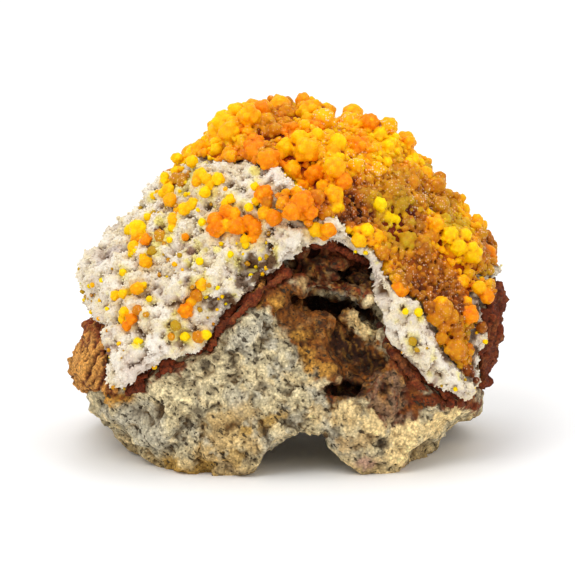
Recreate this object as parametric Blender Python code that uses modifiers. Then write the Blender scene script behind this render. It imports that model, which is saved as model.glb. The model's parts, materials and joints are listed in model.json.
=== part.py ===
# A mimetite specimen: orange globules on a white crust, over a seam of iron oxide, on a grey host rock.
# The front shows a broken section of the layers. The rock stands on flat feet with an arch between them.
# Metres, +Z up, the front faces -Y. Shapes are worked out in millimetres and turned into metres at the end.

import bpy
import bmesh
import math
from mathutils import Matrix, Vector, noise
from mathutils.bvhtree import BVHTree

MM = 0.001

# Driving dimensions, in millimetres
VIEW_TILT = math.radians(13.0)      # the front outline below is seen from this far above the horizon
FRONT_DEPTH = 20.5                  # from the middle of the rock to its front face
BACK_DEPTH = 23.5                   # and to its back
MIDDLE_HEIGHT = 20.5                # height of the middle point above the base
FRONT_FOOT_Y = -18.0                # where the front feet meet the surface
CRUST_THICKNESS = 2.9
OXIDE_THICKNESS = 1.3
OXIDE_LIP = 1.0                     # how far the seam stands out where it shows under the crust
OXIDE_REACH = 7.0                   # how far the seam runs in under the crust
BARE_RISE = 0.1                     # how far bare rock stands out before its chips and facets are taken off
CHIP_DEPTH = 2.6
FACET_DEPTH = 1.7
LEDGE_HEIGHT = 0.5
HIDDEN_DEPTH = 1.5                  # how far a layer runs below the next one where it doesn't show
DRUSE_THICKNESS = 0.95              # the mimetite layer that its globules grow on
MIMETITE_HEIGHT = 2.2               # how far the globules bring the outline out beyond the crust
LUMP_SPACING = 3.5                  # between the globules that cover the rest of the mimetite
LUMP_RADIUS = 1.6                   # of those globules, give or take LUMP_SPREAD
LUMP_SPREAD = 0.4
LUMP_SWELL = 1.12                   # makes up for what fusing takes off a large globule
SEAT = 0.33                         # how far a globule's middle stands off its bed, in radii
CREST_SPREAD = 4.5                  # how far globules on the skyline are spread to front and back

# Limits of the meshes, in millimetres
GAP = 0.32                          # clearance between neighbouring solids
SLIVER = 0.004                      # edges shorter than this are closed up after a cut
COVER_GRAIN = 0.5                   # cell size when the globules of the cover are fused
BEAD_GRAIN = 0.22                   # the same for the separate growths
FORM_LEVEL = 6                      # icosphere subdivisions of every form before it is thinned

# Triangles that each form keeps before it is cut, and that each body keeps in the end
FORM_TRIANGLES = {"rock": 1350, "oxide": 900, "crust": 1500, "mimetite": 3700}
BODY_TRIANGLES = {"rock": 2050, "oxide": 1300, "crust": 1900, "mimetite": 3450}
BEAD_TRIANGLES = 24

# The front outline as (across, up), anticlockwise from the right. Up is measured square to the line of sight.
OUTLINE = [
    (30.6, 24.0), (29.6, 30.5), (28.5, 34.8), (24.6, 38.6), (21.9, 42.8), (17.8, 47.1), (13.6, 50.1),
    (7.5, 51.2), (0.0, 52.4), (-7.4, 52.2), (-11.2, 49.2), (-13.8, 45.9), (-17.8, 42.2), (-20.6, 37.0),
    (-25.4, 32.6), (-28.4, 28.0), (-28.2, 23.0), (-29.8, 17.5), (-30.4, 13.4), (-28.7, 8.8),
    (-25.2, 5.0), (-22.0, 0.8), (-15.0, -3.5), (0.0, -6.0), (13.0, -5.0), (19.2, 1.4), (23.4, 5.0),
    (27.8, 8.6), (28.8, 14.5), (30.2, 19.5),
]

# Lower edge of the white crust on the front, and on the hidden back, as (across, up)
FRONT_SEAM = [
    (-31.0, 22.5), (-26.6, 21.5), (-24.8, 10.4), (-22.4, 12.1), (-18.2, 14.7), (-14.0, 16.4), (-11.8, 17.5),
    (-9.7, 20.7), (-6.8, 23.3), (-4.4, 26.4), (-1.9, 27.4), (0.3, 30.0), (3.1, 31.6), (6.7, 32.7),
    (9.1, 30.9), (12.4, 29.2), (13.6, 25.0), (14.5, 18.5), (16.0, 15.8), (18.8, 12.8), (21.7, 10.9),
    (27.0, 10.3), (28.4, 26.0), (31.0, 27.0),
]
BACK_SEAM = [(-31.0, 22.5), (-20.0, 20.0), (-6.0, 17.0), (8.0, 19.0), (20.0, 21.0), (31.0, 27.0)]

# Outline of the mimetite cover on the front: it grows where up is greater than this line
COVER_EDGE = [
    (-31.0, 60.0), (-18.2, 46.0), (-16.8, 43.2), (-13.5, 43.4), (-11.0, 44.0), (-8.5, 42.6), (-4.5, 42.0),
    (-1.0, 42.2), (2.5, 39.4), (5.0, 36.6), (6.6, 34.4), (9.5, 33.2), (12.8, 29.6), (15.0, 25.6),
    (18.8, 22.6), (20.4, 17.6), (23.4, 14.6), (26.6, 11.6), (27.4, 24.0), (28.6, 27.0), (31.0, 31.0),
]
BACK_COVER_EDGE = [(-31.0, 60.0), (-19.0, 40.0), (-8.0, 27.0), (5.0, 24.0), (18.0, 27.0), (31.0, 30.0)]

# Large globules of the cover as (across, up, radius)
COVER_LUMPS = [
    (-9.4, 50.2, 1.5), (-10.4, 48.4, 1.4), (-7.8, 49.2, 1.5), (-7.3, 51.7, 1.2), (-5.8, 51.0, 1.4),
    (-4.2, 50.9, 1.4), (-7.4, 47.2, 1.5), (-5.4, 48.4, 1.5), (-1.7, 51.6, 1.9), (0.4, 51.4, 1.5),
    (-2.9, 50.0, 1.4), (2.9, 50.8, 1.9), (4.8, 50.6, 1.7), (4.2, 48.6, 1.6), (-1.8, 47.6, 1.3),
    (1.7, 47.0, 1.6), (4.0, 46.5, 1.4), (2.9, 44.4, 1.9), (4.6, 43.4, 1.6), (7.0, 44.8, 1.6),
    (7.8, 45.8, 1.3), (6.0, 41.6, 1.9), (7.0, 39.6, 1.7), (5.8, 37.8, 1.6), (7.2, 36.4, 1.4),
    (0.4, 45.6, 1.4), (-2.5, 44.2, 1.4), (-3.8, 43.2, 1.3), (-6.2, 46.2, 1.3), (9.2, 51.2, 1.4),
    (11.0, 49.8, 1.4), (13.0, 49.4, 1.3), (13.2, 47.2, 1.3), (14.2, 45.8, 1.3), (16.0, 47.2, 1.4),
    (17.4, 46.6, 1.3), (19.6, 44.0, 1.3), (16.8, 42.0, 1.3), (20.6, 34.2, 1.5), (21.8, 33.2, 1.3),
    (23.2, 33.6, 1.4), (22.8, 31.6, 1.6), (24.4, 32.0, 1.4), (25.3, 30.6, 1.7), (26.2, 29.6, 1.4),
    (8.8, 34.2, 1.0), (10.4, 34.4, 1.1), (12.0, 33.4, 1.1), (13.2, 32.0, 1.1), (10.6, 32.4, 1.2),
    (12.8, 30.6, 1.2), (21.8, 24.2, 1.3), (20.6, 22.8, 1.4), (22.4, 21.4, 1.4), (23.4, 20.0, 1.3),
    (15.4, 25.8, 1.5), (25.5, 22.1, 1.4), (28.2, 24.5, 1.2), (23.7, 17.1, 1.6), (10.4, 38.6, 1.5),
    (12.6, 37.2, 1.2), (15.2, 38.8, 1.3), (17.8, 37.6, 1.4), (18.6, 34.4, 1.4), (-15.4, 44.6, 1.2),
    (-13.6, 45.0, 1.2), (-12.4, 46.0, 1.1), (0.3, 37.0, 1.4), (2.1, 37.7, 1.7), (1.6, 36.4, 1.4),
    (-0.5, 38.5, 1.0), (3.6, 37.4, 1.3),
]

# Separate growths on the bare crust: name -> globules as (across, up, radius)
CLUSTERS = {
    "mimetite_left_tip": [(-21.4, 34.2, 1.4), (-22.1, 33.1, 1.2), (-20.7, 32.5, 1.5), (-21.6, 31.1, 1.1)],
    "mimetite_left_bead": [(-19.9, 29.4, 0.95), (-20.3, 30.0, 0.8)],
    "mimetite_upper_left": [(-17.1, 40.3, 1.15), (-16.5, 39.1, 1.2), (-17.7, 39.7, 0.9), (-15.9, 41.6, 0.9)],
    "mimetite_shoulder": [(-14.3, 37.5, 1.1), (-15.2, 37.0, 0.9), (-13.2, 38.4, 0.9)],
    "mimetite_crown_left": [(-11.8, 41.6, 1.0), (-10.8, 40.8, 1.1), (-13.2, 40.6, 0.9), (-9.8, 41.4, 0.8)],
    "mimetite_lower_bar": [(-24.3, 24.7, 1.0), (-23.3, 25.2, 0.9), (-21.5, 26.1, 1.0), (-22.4, 25.6, 0.9)],
    "mimetite_lower_pocket": [
        (-22.9, 22.9, 0.8), (-22.6, 21.6, 1.0), (-21.2, 21.3, 0.9), (-20.7, 22.6, 0.8), (-22.3, 20.4, 0.9)],
    "mimetite_middle_bead": [(-14.4, 22.9, 1.2), (-13.1, 24.8, 1.1), (-13.8, 23.9, 0.9)],
    "mimetite_orange_cluster": [
        (-10.3, 34.9, 1.5), (-9.0, 36.3, 1.3), (-6.9, 34.2, 1.6), (-5.1, 33.1, 1.6), (-6.2, 35.9, 1.2),
        (-8.4, 34.6, 1.2), (-3.9, 34.4, 1.2)],
    "mimetite_orange_peak": [(-3.6, 38.8, 1.3), (-4.6, 37.8, 1.0), (-2.6, 37.4, 1.1), (-1.6, 35.9, 1.2)],
    "mimetite_edge_bead": [(4.2, 33.9, 1.0), (3.2, 34.5, 0.8), (5.1, 33.2, 0.8)],
    "mimetite_seam_bead": [(-12.6, 18.9, 0.9), (-11.4, 19.5, 0.8)],
}

# Hollows cut out of the rock and its oxide: (across, up, depth), (half width, half height, half depth), roll
HOLLOWS = [
    ((5.6, 28.9, -17.5), (8.0, 2.7, 8.0), -13.0),
    ((7.0, 23.2, -17.0), (7.6, 2.6, 8.5), -14.0),
    ((9.6, 18.0, -20.0), (5.2, 6.4, 5.5), 24.0),
    ((2.6, 20.6, -21.0), (5.6, 4.4, 3.6), -52.0),
    ((7.9, 11.6, -19.0), (3.7, 1.5, 6.0), -4.0),
]

# The arch that runs from front to back between the feet, and the hollow between front and back feet
ARCH_MIDDLE = 2.6
ARCH_HALF_WIDTH = 9.4
ARCH_HEIGHT = 6.2
ARCH_SHARPNESS = 1.7
SIDE_HOLLOW_Y = 1.0
SIDE_HOLLOW_HALF_WIDTH = 8.5
SIDE_HOLLOW_HEIGHT = 3.0

# Swellings of the crust on the front: (across, up, radius, height)
CRUST_LUMPS = [
    (-20.6, 14.6, 3.8, 2.2), (-17.0, 18.6, 3.2, 1.2), (-26.8, 30.4, 3.2, 1.6), (-24.8, 19.4, 3.0, 1.4),
    (-14.6, 27.6, 3.6, 1.2), (-8.4, 30.2, 3.2, 1.0), (0.4, 33.8, 3.0, 1.4), (6.4, 34.0, 2.6, 1.0),
    (15.4, 21.6, 2.8, 1.2), (19.4, 17.0, 3.0, 1.3), (24.0, 13.0, 3.2, 1.5), (-17.6, 33.6, 3.6, 1.1),
    (-9.8, 38.8, 3.4, 0.9), (-11.6, 23.6, 2.8, -1.3), (-5.6, 30.4, 2.4, -1.2),
]

RIGHT = Vector((1, 0, 0))
SIGHT = Vector((0, math.cos(VIEW_TILT), -math.sin(VIEW_TILT)))
UP = Vector((0, math.sin(VIEW_TILT), math.cos(VIEW_TILT)))
MIDDLE = Vector((0, 0, MIDDLE_HEIGHT))
MIDDLE_UP = MIDDLE_HEIGHT * math.cos(VIEW_TILT) - FRONT_FOOT_Y * math.sin(VIEW_TILT)


def clear_scene():
    for thing in list(bpy.data.objects):
        bpy.data.objects.remove(thing, do_unlink=True)


def interpolate(points, x):
    """Straight-line value at x through points that run left to right."""
    if x <= points[0][0]:
        return points[0][1]
    for (x0, y0), (x1, y1) in zip(points, points[1:]):
        if x <= x1:
            return y0 + (y1 - y0) * (x - x0) / (x1 - x0)
    return points[-1][1]


def ease(low, high, x):
    """0 at low, 1 at high, smooth between; low may be the larger."""
    t = min(1.0, max(0.0, (x - low) / (high - low)))
    return t * t * (3 - 2 * t)


# Polar form of the outline about the middle
POLAR = sorted(
    (math.atan2(up - MIDDLE_UP, across), math.hypot(across, up - MIDDLE_UP)) for across, up in OUTLINE
)
POLAR = (
    [(angle - 2 * math.pi, reach) for angle, reach in POLAR[-2:]]
    + POLAR
    + [(angle + 2 * math.pi, reach) for angle, reach in POLAR[:2]]
)


def outer_radius(direction):
    """Distance from the middle to the outside of the crust, in view axes (across, up, depth)."""
    across, up, depth = direction
    flat = math.hypot(across, up)
    reach = interpolate(POLAR, math.atan2(up, across)) if flat > 1e-6 else FRONT_DEPTH
    deep = FRONT_DEPTH if depth < 0 else BACK_DEPTH
    squareness = 3.6 - 1.5 * ease(-0.25, 0.35, up)
    return ((flat / reach) ** squareness + (abs(depth) / deep) ** squareness) ** (-1 / squareness)


def view_axes(point):
    """(across, up, depth) of a point, with up as on the outline and depth from the middle."""
    local = point - MIDDLE
    return local.dot(RIGHT), local.dot(UP) + MIDDLE_UP, local.dot(SIGHT)


def from_view(across, up, depth):
    return MIDDLE + RIGHT * across + UP * (up - MIDDLE_UP) + SIGHT * depth


def between_front_and_back(front, back, across, depth):
    return interpolate(front, across) + (interpolate(back, across) - interpolate(front, across)) * ease(
        -6.0, 5.0, depth
    )


def crust_cover(point):
    """How far a point lies above the lower edge of the crust."""
    across, up, depth = view_axes(point)
    wander = 1.2 * noise.noise(point * 0.31 + Vector((7, 1, 3)))
    return up - between_front_and_back(FRONT_SEAM, BACK_SEAM, across, depth) + wander


def mimetite_cover(point):
    """How far a point lies inside the mimetite cover."""
    across, up, depth = view_axes(point)
    wander = 1.6 * noise.noise(point * 0.28 + Vector((2, 9, 5)))
    return up - between_front_and_back(COVER_EDGE, BACK_COVER_EDGE, across, depth) + wander


def underside(x, y):
    """Height of the rock's underside over what it stands on. Below nought it is a foot, cut off flat."""
    half_width = ARCH_HALF_WIDTH * (1 + 0.3 * ease(-10.0, 22.0, y))
    from_arch = abs(x - ARCH_MIDDLE + 1.2 * noise.noise(Vector((0, y * 0.12, 4)))) / half_width
    arch = ARCH_HEIGHT * (1 - from_arch ** ARCH_SHARPNESS)
    from_side = abs(y - SIDE_HOLLOW_Y) / SIDE_HOLLOW_HALF_WIDTH
    side = SIDE_HOLLOW_HEIGHT * (1 - from_side * from_side)
    return max(arch, side, -3.0) + 0.7 * noise.noise(Vector((x * 0.3, y * 0.3, 1)))


def rock_radius(outer, point):
    bare = 1 - ease(-0.9, 0.9, crust_cover(point))
    chips = CHIP_DEPTH * abs(noise.noise(point * 0.17 + Vector((3, 3, 8))))
    facets = FACET_DEPTH * noise.voronoi(point * 0.13)[0][0]
    ledges = LEDGE_HEIGHT * noise.noise(Vector((point.x * 0.12, point.y * 0.12, point.z * 0.75)))
    inlay = CRUST_THICKNESS + OXIDE_THICKNESS
    reach = outer - inlay + bare * (inlay + BARE_RISE - chips - facets + ledges)
    fall = (MIDDLE.z - point.z) / outer
    if fall > 0.3:
        foot = MIDDLE + (point - MIDDLE) * min(1.0, MIDDLE_HEIGHT / (fall * outer))
        reach = min(reach, (MIDDLE_HEIGHT - underside(foot.x, foot.y)) / fall)
    return reach


def oxide_radius(outer, point):
    """The seam shows just below the crust, on the left end and down the right side."""
    across, up, depth = view_axes(point)
    cover = crust_cover(point)
    left_end = ease(-24.6, -25.6, across) * ease(9.5, 11.5, up)
    right_side = ease(27.2, 28.2, across) * ease(10.0, 12.0, up)
    band = ease(-2.4, -1.5, cover) * ease(OXIDE_REACH + 1.5, OXIDE_REACH, cover)
    shown = max(band, left_end, right_side)
    rough = 0.35 * noise.noise(point * 0.9)
    rock = rock_radius(outer, point)
    grown = max(rock + OXIDE_LIP, outer - CRUST_THICKNESS) + rough * ease(2, 0, cover)
    return grown * shown + (rock - HIDDEN_DEPTH) * (1 - shown)


def crust_radius(outer, point):
    covered = ease(-0.3, 0.7, crust_cover(point))
    across, up, depth = view_axes(point)
    lumps = 1.3 * noise.noise(point * 0.2 + Vector((5, 2, 0))) + 0.8 * noise.noise(point * 0.55)
    lumps += 0.9 * (0.5 - noise.voronoi(point * 0.3)[0][0])
    if depth < 0:
        for lump_across, lump_up, radius, height in CRUST_LUMPS:
            away = math.hypot(across - lump_across, up - lump_up) / radius
            lumps += height * math.exp(-away * away)
    hidden = ease(0.5, 2.5, mimetite_cover(point))
    return outer + lumps * covered * (1 - hidden) - (CRUST_THICKNESS + HIDDEN_DEPTH) * (1 - covered)


def druse_radius(outer, point):
    grown = ease(-0.6, 0.6, mimetite_cover(point)) * ease(0.5, 1.5, crust_cover(point))
    crust = crust_radius(outer, point)
    return crust + DRUSE_THICKNESS * grown - HIDDEN_DEPTH * (1 - grown)


def new_object(name, mesh, collection):
    made = bpy.data.objects.new(name, mesh)
    collection.objects.link(made)
    return made


def as_guide(target):
    """Marks a cutter or a guide, which isn't part of the specimen."""
    target.display_type = "WIRE"
    target.hide_render = True
    return target


def face_outwards(shape):
    """View axes are left-handed, so a shape laid out in them comes inside out."""
    if shape.calc_volume(signed=True) < 0:
        bmesh.ops.reverse_faces(shape, faces=shape.faces)


def as_mesh(shape, name):
    mesh = bpy.data.meshes.new(name)
    shape.to_mesh(mesh)
    shape.free()
    return mesh


def settled(target):
    """Applies an object's modifiers and leaves it as a plain mesh."""
    graph = bpy.context.evaluated_depsgraph_get()
    baked = bpy.data.meshes.new_from_object(target.evaluated_get(graph))
    target.modifiers.clear()
    target.data = baked
    return target


def thinned(target, triangles):
    """Collapses small triangles until about this many are left."""
    count = sum(len(face.vertices) - 2 for face in target.data.polygons)
    if count > triangles:
        thin = target.modifiers.new("Thin", "DECIMATE")
        thin.ratio = triangles / count
        settled(target)
    return target


def grown_form(name, radius, triangles, collection):
    """A closed body around the middle, pushed out to radius in each direction."""
    shape = bmesh.new()
    bmesh.ops.create_icosphere(shape, subdivisions=FORM_LEVEL, radius=1.0)
    for vertex in shape.verts:
        direction = vertex.co.normalized()
        outer = outer_radius(direction)
        heading = RIGHT * direction.x + UP * direction.y + SIGHT * direction.z
        outer -= MIMETITE_HEIGHT * ease(-1.0, 3.0, mimetite_cover(MIDDLE + heading * outer))
        reach = radius(outer, MIDDLE + heading * outer)
        vertex.co = MIDDLE + heading * reach
    face_outwards(shape)
    return thinned(new_object(name, as_mesh(shape, name), collection), triangles)


def swollen(source, distance, collection):
    """A copy whose surface is pushed out, used to keep a gap to the next layer."""
    shape = bmesh.new()
    shape.from_mesh(source.data)
    shape.normal_update()
    for vertex in shape.verts:
        vertex.co += vertex.normal * distance * min(vertex.calc_shell_factor(), 1.6)
    copy = new_object(source.name + "_swollen", as_mesh(shape, source.name), collection)
    return as_guide(copy)


def combined(target, cutter, operation):
    join = target.modifiers.new(operation.title(), "BOOLEAN")
    join.operation = operation
    join.object = cutter
    join.solver = "EXACT"
    return settled(target)


def largest_piece(shape):
    """Drops the crumbs that a cut left beside the biggest connected piece."""
    unseen = set(shape.faces)
    pieces = []
    while unseen:
        piece = [unseen.pop()]
        for here in piece:
            for edge in here.edges:
                for other in edge.link_faces:
                    if other in unseen:
                        unseen.remove(other)
                        piece.append(other)
        pieces.append(piece)
    pieces.sort(key=len)
    for crumbs in pieces[:-1]:
        bmesh.ops.delete(shape, geom=crumbs, context="FACES")


def tidied(target, triangles):
    """Closes up slivers and thins the body, so that it is one clean closed surface."""
    shape = bmesh.new()
    shape.from_mesh(target.data)
    bmesh.ops.remove_doubles(shape, verts=shape.verts, dist=SLIVER)
    bmesh.ops.dissolve_degenerate(shape, dist=SLIVER / 2, edges=shape.edges)
    bmesh.ops.triangulate(shape, faces=shape.faces)
    largest_piece(shape)
    target.data = as_mesh(shape, target.name)
    return thinned(target, triangles)


def hollow_cutter(number, centre, half_sizes, roll, collection):
    """A rough-walled egg that cuts a hollow in from the front."""
    shape = bmesh.new()
    bmesh.ops.create_icosphere(shape, subdivisions=2 + (half_sizes[0] > 5), radius=1.0)
    turn = Matrix.Rotation(math.radians(roll), 3, "Z")
    for vertex in shape.verts:
        rough = 1 + 0.22 * noise.noise(vertex.co * 2.3 + Vector((number, 0, 0)))
        local = turn @ Vector([value * half * rough for value, half in zip(vertex.co, half_sizes)])
        vertex.co = from_view(centre[0] + local.x, centre[1] + local.y, centre[2] + local.z)
    face_outwards(shape)
    cutter = new_object(f"hollow_cutter_{number}", as_mesh(shape, "hollow"), collection)
    return as_guide(cutter)


def floor_cutter(collection):
    shape = bmesh.new()
    bmesh.ops.create_cube(shape, size=1.0)
    bmesh.ops.scale(shape, vec=(120, 120, 40), verts=shape.verts)
    bmesh.ops.translate(shape, vec=(0, 0, -20), verts=shape.verts)
    cutter = new_object("floor_cutter", as_mesh(shape, "floor"), collection)
    return as_guide(cutter)


def surface_of(form):
    shape = bmesh.new()
    shape.from_mesh(form.data)
    tree = BVHTree.FromBMesh(shape)
    shape.free()
    return tree


def seated(tree, across, up):
    """Where the line of sight through (across, up) meets the surface, and the surface's normal there."""
    start = from_view(across, up, -80.0)
    place, normal, _, _ = tree.ray_cast(start, SIGHT)
    if place is None:
        over_the_crest = CREST_SPREAD * math.sin(across * 2.1)
        place, normal, _, _ = tree.find_nearest(from_view(across, up, over_the_crest))
    return place, normal


def scattered_lumps(form, spacing):
    """Evenly spread places on the form inside the mimetite cover."""
    chosen = []
    for vertex in form.data.vertices:
        place = vertex.co
        if mimetite_cover(place) < 0.8 or crust_cover(place) < 1.4:
            continue
        if all((place - other).length > spacing for other, _ in chosen):
            chosen.append((place.copy(), vertex.normal.copy()))
    return chosen


def globule_mass(name, globules, base, detail, triangles, collection):
    """Globules, and the layer under them if there is one, grown into one body."""
    shape = bmesh.new()
    for place, radius in globules:
        bmesh.ops.create_icosphere(
            shape, subdivisions=detail, radius=radius, matrix=Matrix.Translation(place)
        )
    if base:
        shape.from_mesh(base.data)
    mass = new_object(name, as_mesh(shape, name), collection)
    fuse = mass.modifiers.new("Fuse", "REMESH")
    fuse.mode = "VOXEL"
    fuse.voxel_size = COVER_GRAIN if base else BEAD_GRAIN
    settled(mass)
    return thinned(mass, triangles)


def finish(name, colour, roughness):
    material = bpy.data.materials.new(name)
    material.use_nodes = True
    shader = material.node_tree.nodes["Principled BSDF"]
    shader.inputs["Base Color"].default_value = (*colour, 1)
    shader.inputs["Roughness"].default_value = roughness
    shader.inputs["Metallic"].default_value = 0.0
    return material


def to_origin(bodies):
    """The move that puts the middle of the specimen's footprint on the origin, with its feet at Z = 0."""
    corners = [vertex.co for body in bodies for vertex in body.data.vertices]
    low = [min(corner[axis] for corner in corners) for axis in range(3)]
    high = [max(corner[axis] for corner in corners) for axis in range(3)]
    return Matrix.Translation((-(low[0] + high[0]) / 2, -(low[1] + high[1]) / 2, -low[2]))


def placed(target, move, collection, holder, material):
    """Moves a settled body into place, turns it into metres and hangs it on the specimen's holder."""
    target.data.transform(Matrix.Scale(MM, 4) @ move)
    target.data.materials.clear()
    target.data.materials.append(material)
    for old in list(target.users_collection):
        old.objects.unlink(target)
    collection.objects.link(target)
    target.parent = holder


def build():
    clear_scene()
    specimen = bpy.data.collections.new("mimetite_specimen")
    helpers = bpy.data.collections.new("cutters")
    bpy.context.scene.collection.children.link(specimen)
    bpy.context.scene.collection.children.link(helpers)
    holder = bpy.data.objects.new("specimen", None)
    specimen.objects.link(holder)

    rock_form = grown_form("rock_form", rock_radius, FORM_TRIANGLES["rock"], helpers)
    oxide_form = grown_form("oxide_form", oxide_radius, FORM_TRIANGLES["oxide"], helpers)
    crust_form = grown_form("crust_form", crust_radius, FORM_TRIANGLES["crust"], helpers)
    druse_form = as_guide(grown_form("druse_form", druse_radius, FORM_TRIANGLES["crust"], helpers))

    over_rock = swollen(rock_form, GAP, helpers)
    over_oxide = swollen(oxide_form, GAP, helpers)
    over_crust = swollen(crust_form, GAP, helpers)
    floor = floor_cutter(helpers)

    # The layers, from the outside in
    crust_surface = surface_of(crust_form)
    globules = []
    for across, up, radius in COVER_LUMPS:
        place, normal = seated(crust_surface, across, up)
        globules.append((place + normal * (DRUSE_THICKNESS + radius * SEAT), radius * LUMP_SWELL))
    for number, (place, normal) in enumerate(scattered_lumps(crust_form, LUMP_SPACING)):
        if all((place - other).length > LUMP_SPACING for other, _ in globules[: len(COVER_LUMPS)]):
            radius = LUMP_RADIUS + LUMP_SPREAD * math.sin(number * 2.4)
            globules.append((place + normal * DRUSE_THICKNESS * 1.3, radius))
    cover = globule_mass("mimetite_cover", globules, druse_form, 2, FORM_TRIANGLES["mimetite"], helpers)
    for layer in (over_crust, over_oxide, over_rock):
        combined(cover, layer, "DIFFERENCE")
    tidied(cover, BODY_TRIANGLES["mimetite"])

    growths = []
    for name, spots in CLUSTERS.items():
        seats = [(seated(crust_surface, across, up), radius) for across, up, radius in spots]
        beads = [(place + normal * radius * SEAT, radius) for (place, normal), radius in seats]
        growth = globule_mass(name, beads, None, 3, BEAD_TRIANGLES * (len(beads) + 1), helpers)
        combined(growth, over_crust, "DIFFERENCE")
        growths.append(tidied(growth, BEAD_TRIANGLES * len(beads)))

    crust = crust_form
    crust.name = "white_crust"
    for layer in (over_oxide, over_rock):
        combined(crust, layer, "DIFFERENCE")

    oxide = oxide_form
    oxide.name = "iron_oxide_seam"
    combined(oxide, over_rock, "DIFFERENCE")

    rock = rock_form
    rock.name = "host_rock"
    for number, (centre, half_sizes, roll) in enumerate(HOLLOWS):
        cutter = hollow_cutter(number, centre, half_sizes, roll, helpers)
        combined(rock, cutter, "DIFFERENCE")
        combined(oxide, cutter, "DIFFERENCE")
    combined(rock, floor, "DIFFERENCE")
    tidied(crust, BODY_TRIANGLES["crust"])
    tidied(oxide, BODY_TRIANGLES["oxide"])
    tidied(rock, BODY_TRIANGLES["rock"])

    finishes = {
        "host_rock": finish("host_rock_grey", (0.55, 0.50, 0.37), 0.85),
        "iron_oxide_seam": finish("iron_oxide_red_brown", (0.28, 0.07, 0.02), 0.8),
        "white_crust": finish("crust_white", (0.82, 0.76, 0.70), 0.7),
    }
    orange = finish("mimetite_orange", (0.95, 0.42, 0.02), 0.35)
    bodies = [rock, oxide, crust, cover, *growths]
    move = to_origin(bodies)
    for body in bodies:
        placed(body, move, specimen, holder, finishes.get(body.name, orange))


build()
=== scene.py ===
import bpy
import bmesh
import json
import math
import numpy as np
from mathutils import Matrix, Vector, noise
from mathutils.bvhtree import BVHTree
from mathutils.kdtree import KDTree

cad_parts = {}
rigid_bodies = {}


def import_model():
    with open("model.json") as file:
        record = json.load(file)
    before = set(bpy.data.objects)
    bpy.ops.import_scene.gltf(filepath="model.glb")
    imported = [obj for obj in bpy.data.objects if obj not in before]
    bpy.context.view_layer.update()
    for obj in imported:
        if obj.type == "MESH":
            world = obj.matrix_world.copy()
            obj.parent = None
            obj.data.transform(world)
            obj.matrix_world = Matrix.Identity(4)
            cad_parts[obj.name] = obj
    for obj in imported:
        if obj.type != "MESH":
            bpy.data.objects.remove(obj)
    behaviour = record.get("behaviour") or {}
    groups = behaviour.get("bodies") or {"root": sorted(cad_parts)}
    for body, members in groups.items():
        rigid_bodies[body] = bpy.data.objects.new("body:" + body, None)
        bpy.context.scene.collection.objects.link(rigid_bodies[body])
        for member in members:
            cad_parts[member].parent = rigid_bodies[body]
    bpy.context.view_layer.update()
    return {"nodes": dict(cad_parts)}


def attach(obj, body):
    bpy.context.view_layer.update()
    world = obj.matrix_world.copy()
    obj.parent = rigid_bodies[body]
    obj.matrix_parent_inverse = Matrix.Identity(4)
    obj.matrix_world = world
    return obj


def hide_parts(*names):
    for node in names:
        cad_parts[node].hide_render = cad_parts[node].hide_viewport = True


# A mimetite specimen: orange globules on a granular white crust, over a seam of iron oxide, on grey rock.
# Shapes are worked out in millimetres and turned into metres as each piece is finished.
for leftover in list(bpy.data.objects):
    bpy.data.objects.remove(leftover, do_unlink=True)
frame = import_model()
nodes = frame["nodes"]
print("frame: %d nodes" % len(nodes))

# The camera's axes. Places on the front are given as (across, up), in mm, seen from the camera.
view = {
    "tilt": 13.0,                      # degrees that the camera looks down
    "distance": 1500.0,                # mm from the camera to the middle of the picture
    "pictureWidth": 81.94,             # mm that the picture spans there
    "middle": (-0.07, 26.0),           # the middle of the picture, as (across, up)
}
tilt = math.radians(view["tilt"])
right = Vector((1, 0, 0))
sight = Vector((0, math.cos(tilt), -math.sin(tilt)))
upward = Vector((0, math.sin(tilt), math.cos(tilt)))
rockMiddle = Vector((-0.015, -1.027, 20.502))  # inside the rock, at across 0
middleUp = 24.024                              # and at this far up
clearOfRock = 80.0                             # far enough in front of everything
frontDepth = 2.0                               # marks on the front end this far behind the rock's middle
toMetres = 0.001


def fromView(across, up, depth=0.0):
    return rockMiddle + right * across + upward * (up - middleUp) + sight * depth


def toView(co):
    local = co - np.array(rockMiddle)
    return local @ np.array(right), local @ np.array(upward) + middleUp, local @ np.array(sight)


def ease(low, high, x):
    t = np.clip((x - low) / (high - low), 0.0, 1.0)
    return t * t * (3 - 2 * t)


# Meshes

def linked(name, mesh):
    piece = bpy.data.objects.new(name, mesh)
    bpy.context.scene.collection.objects.link(piece)
    return piece


def settle(piece):
    graph = bpy.context.evaluated_depsgraph_get()
    baked = bpy.data.meshes.new_from_object(piece.evaluated_get(graph))
    piece.modifiers.clear()
    piece.data = baked
    return piece


def thinned(piece, triangles):
    count = len(piece.data.loops) - 2 * len(piece.data.polygons)
    if count > triangles:
        thin = piece.modifiers.new("Thin", "DECIMATE")
        thin.ratio = triangles / count
        settle(piece)
        unfold(piece.data)
    return piece


def unfold(mesh):
    # thinning leaves a few faces folded onto each other: they and their loose ends come out
    mesh.validate()
    shape = bmesh.new()
    shape.from_mesh(mesh)
    for _ in range(3):
        stray = [edge for edge in shape.edges if len(edge.link_faces) == 1]
        flaps = {face for edge in stray for face in edge.link_faces}
        bmesh.ops.delete(shape, geom=list(flaps), context="FACES")
    bmesh.ops.holes_fill(shape, edges=[edge for edge in shape.edges if len(edge.link_faces) == 1])
    shape.to_mesh(mesh)
    shape.free()


def fused(piece, cell, triangles=None):
    # one closed skin over everything in the piece, thinned to a number of triangles
    skin = piece.modifiers.new("Skin", "REMESH")
    skin.mode = "VOXEL"
    skin.voxel_size = cell
    settle(piece)
    return thinned(piece, triangles) if triangles else piece


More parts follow.
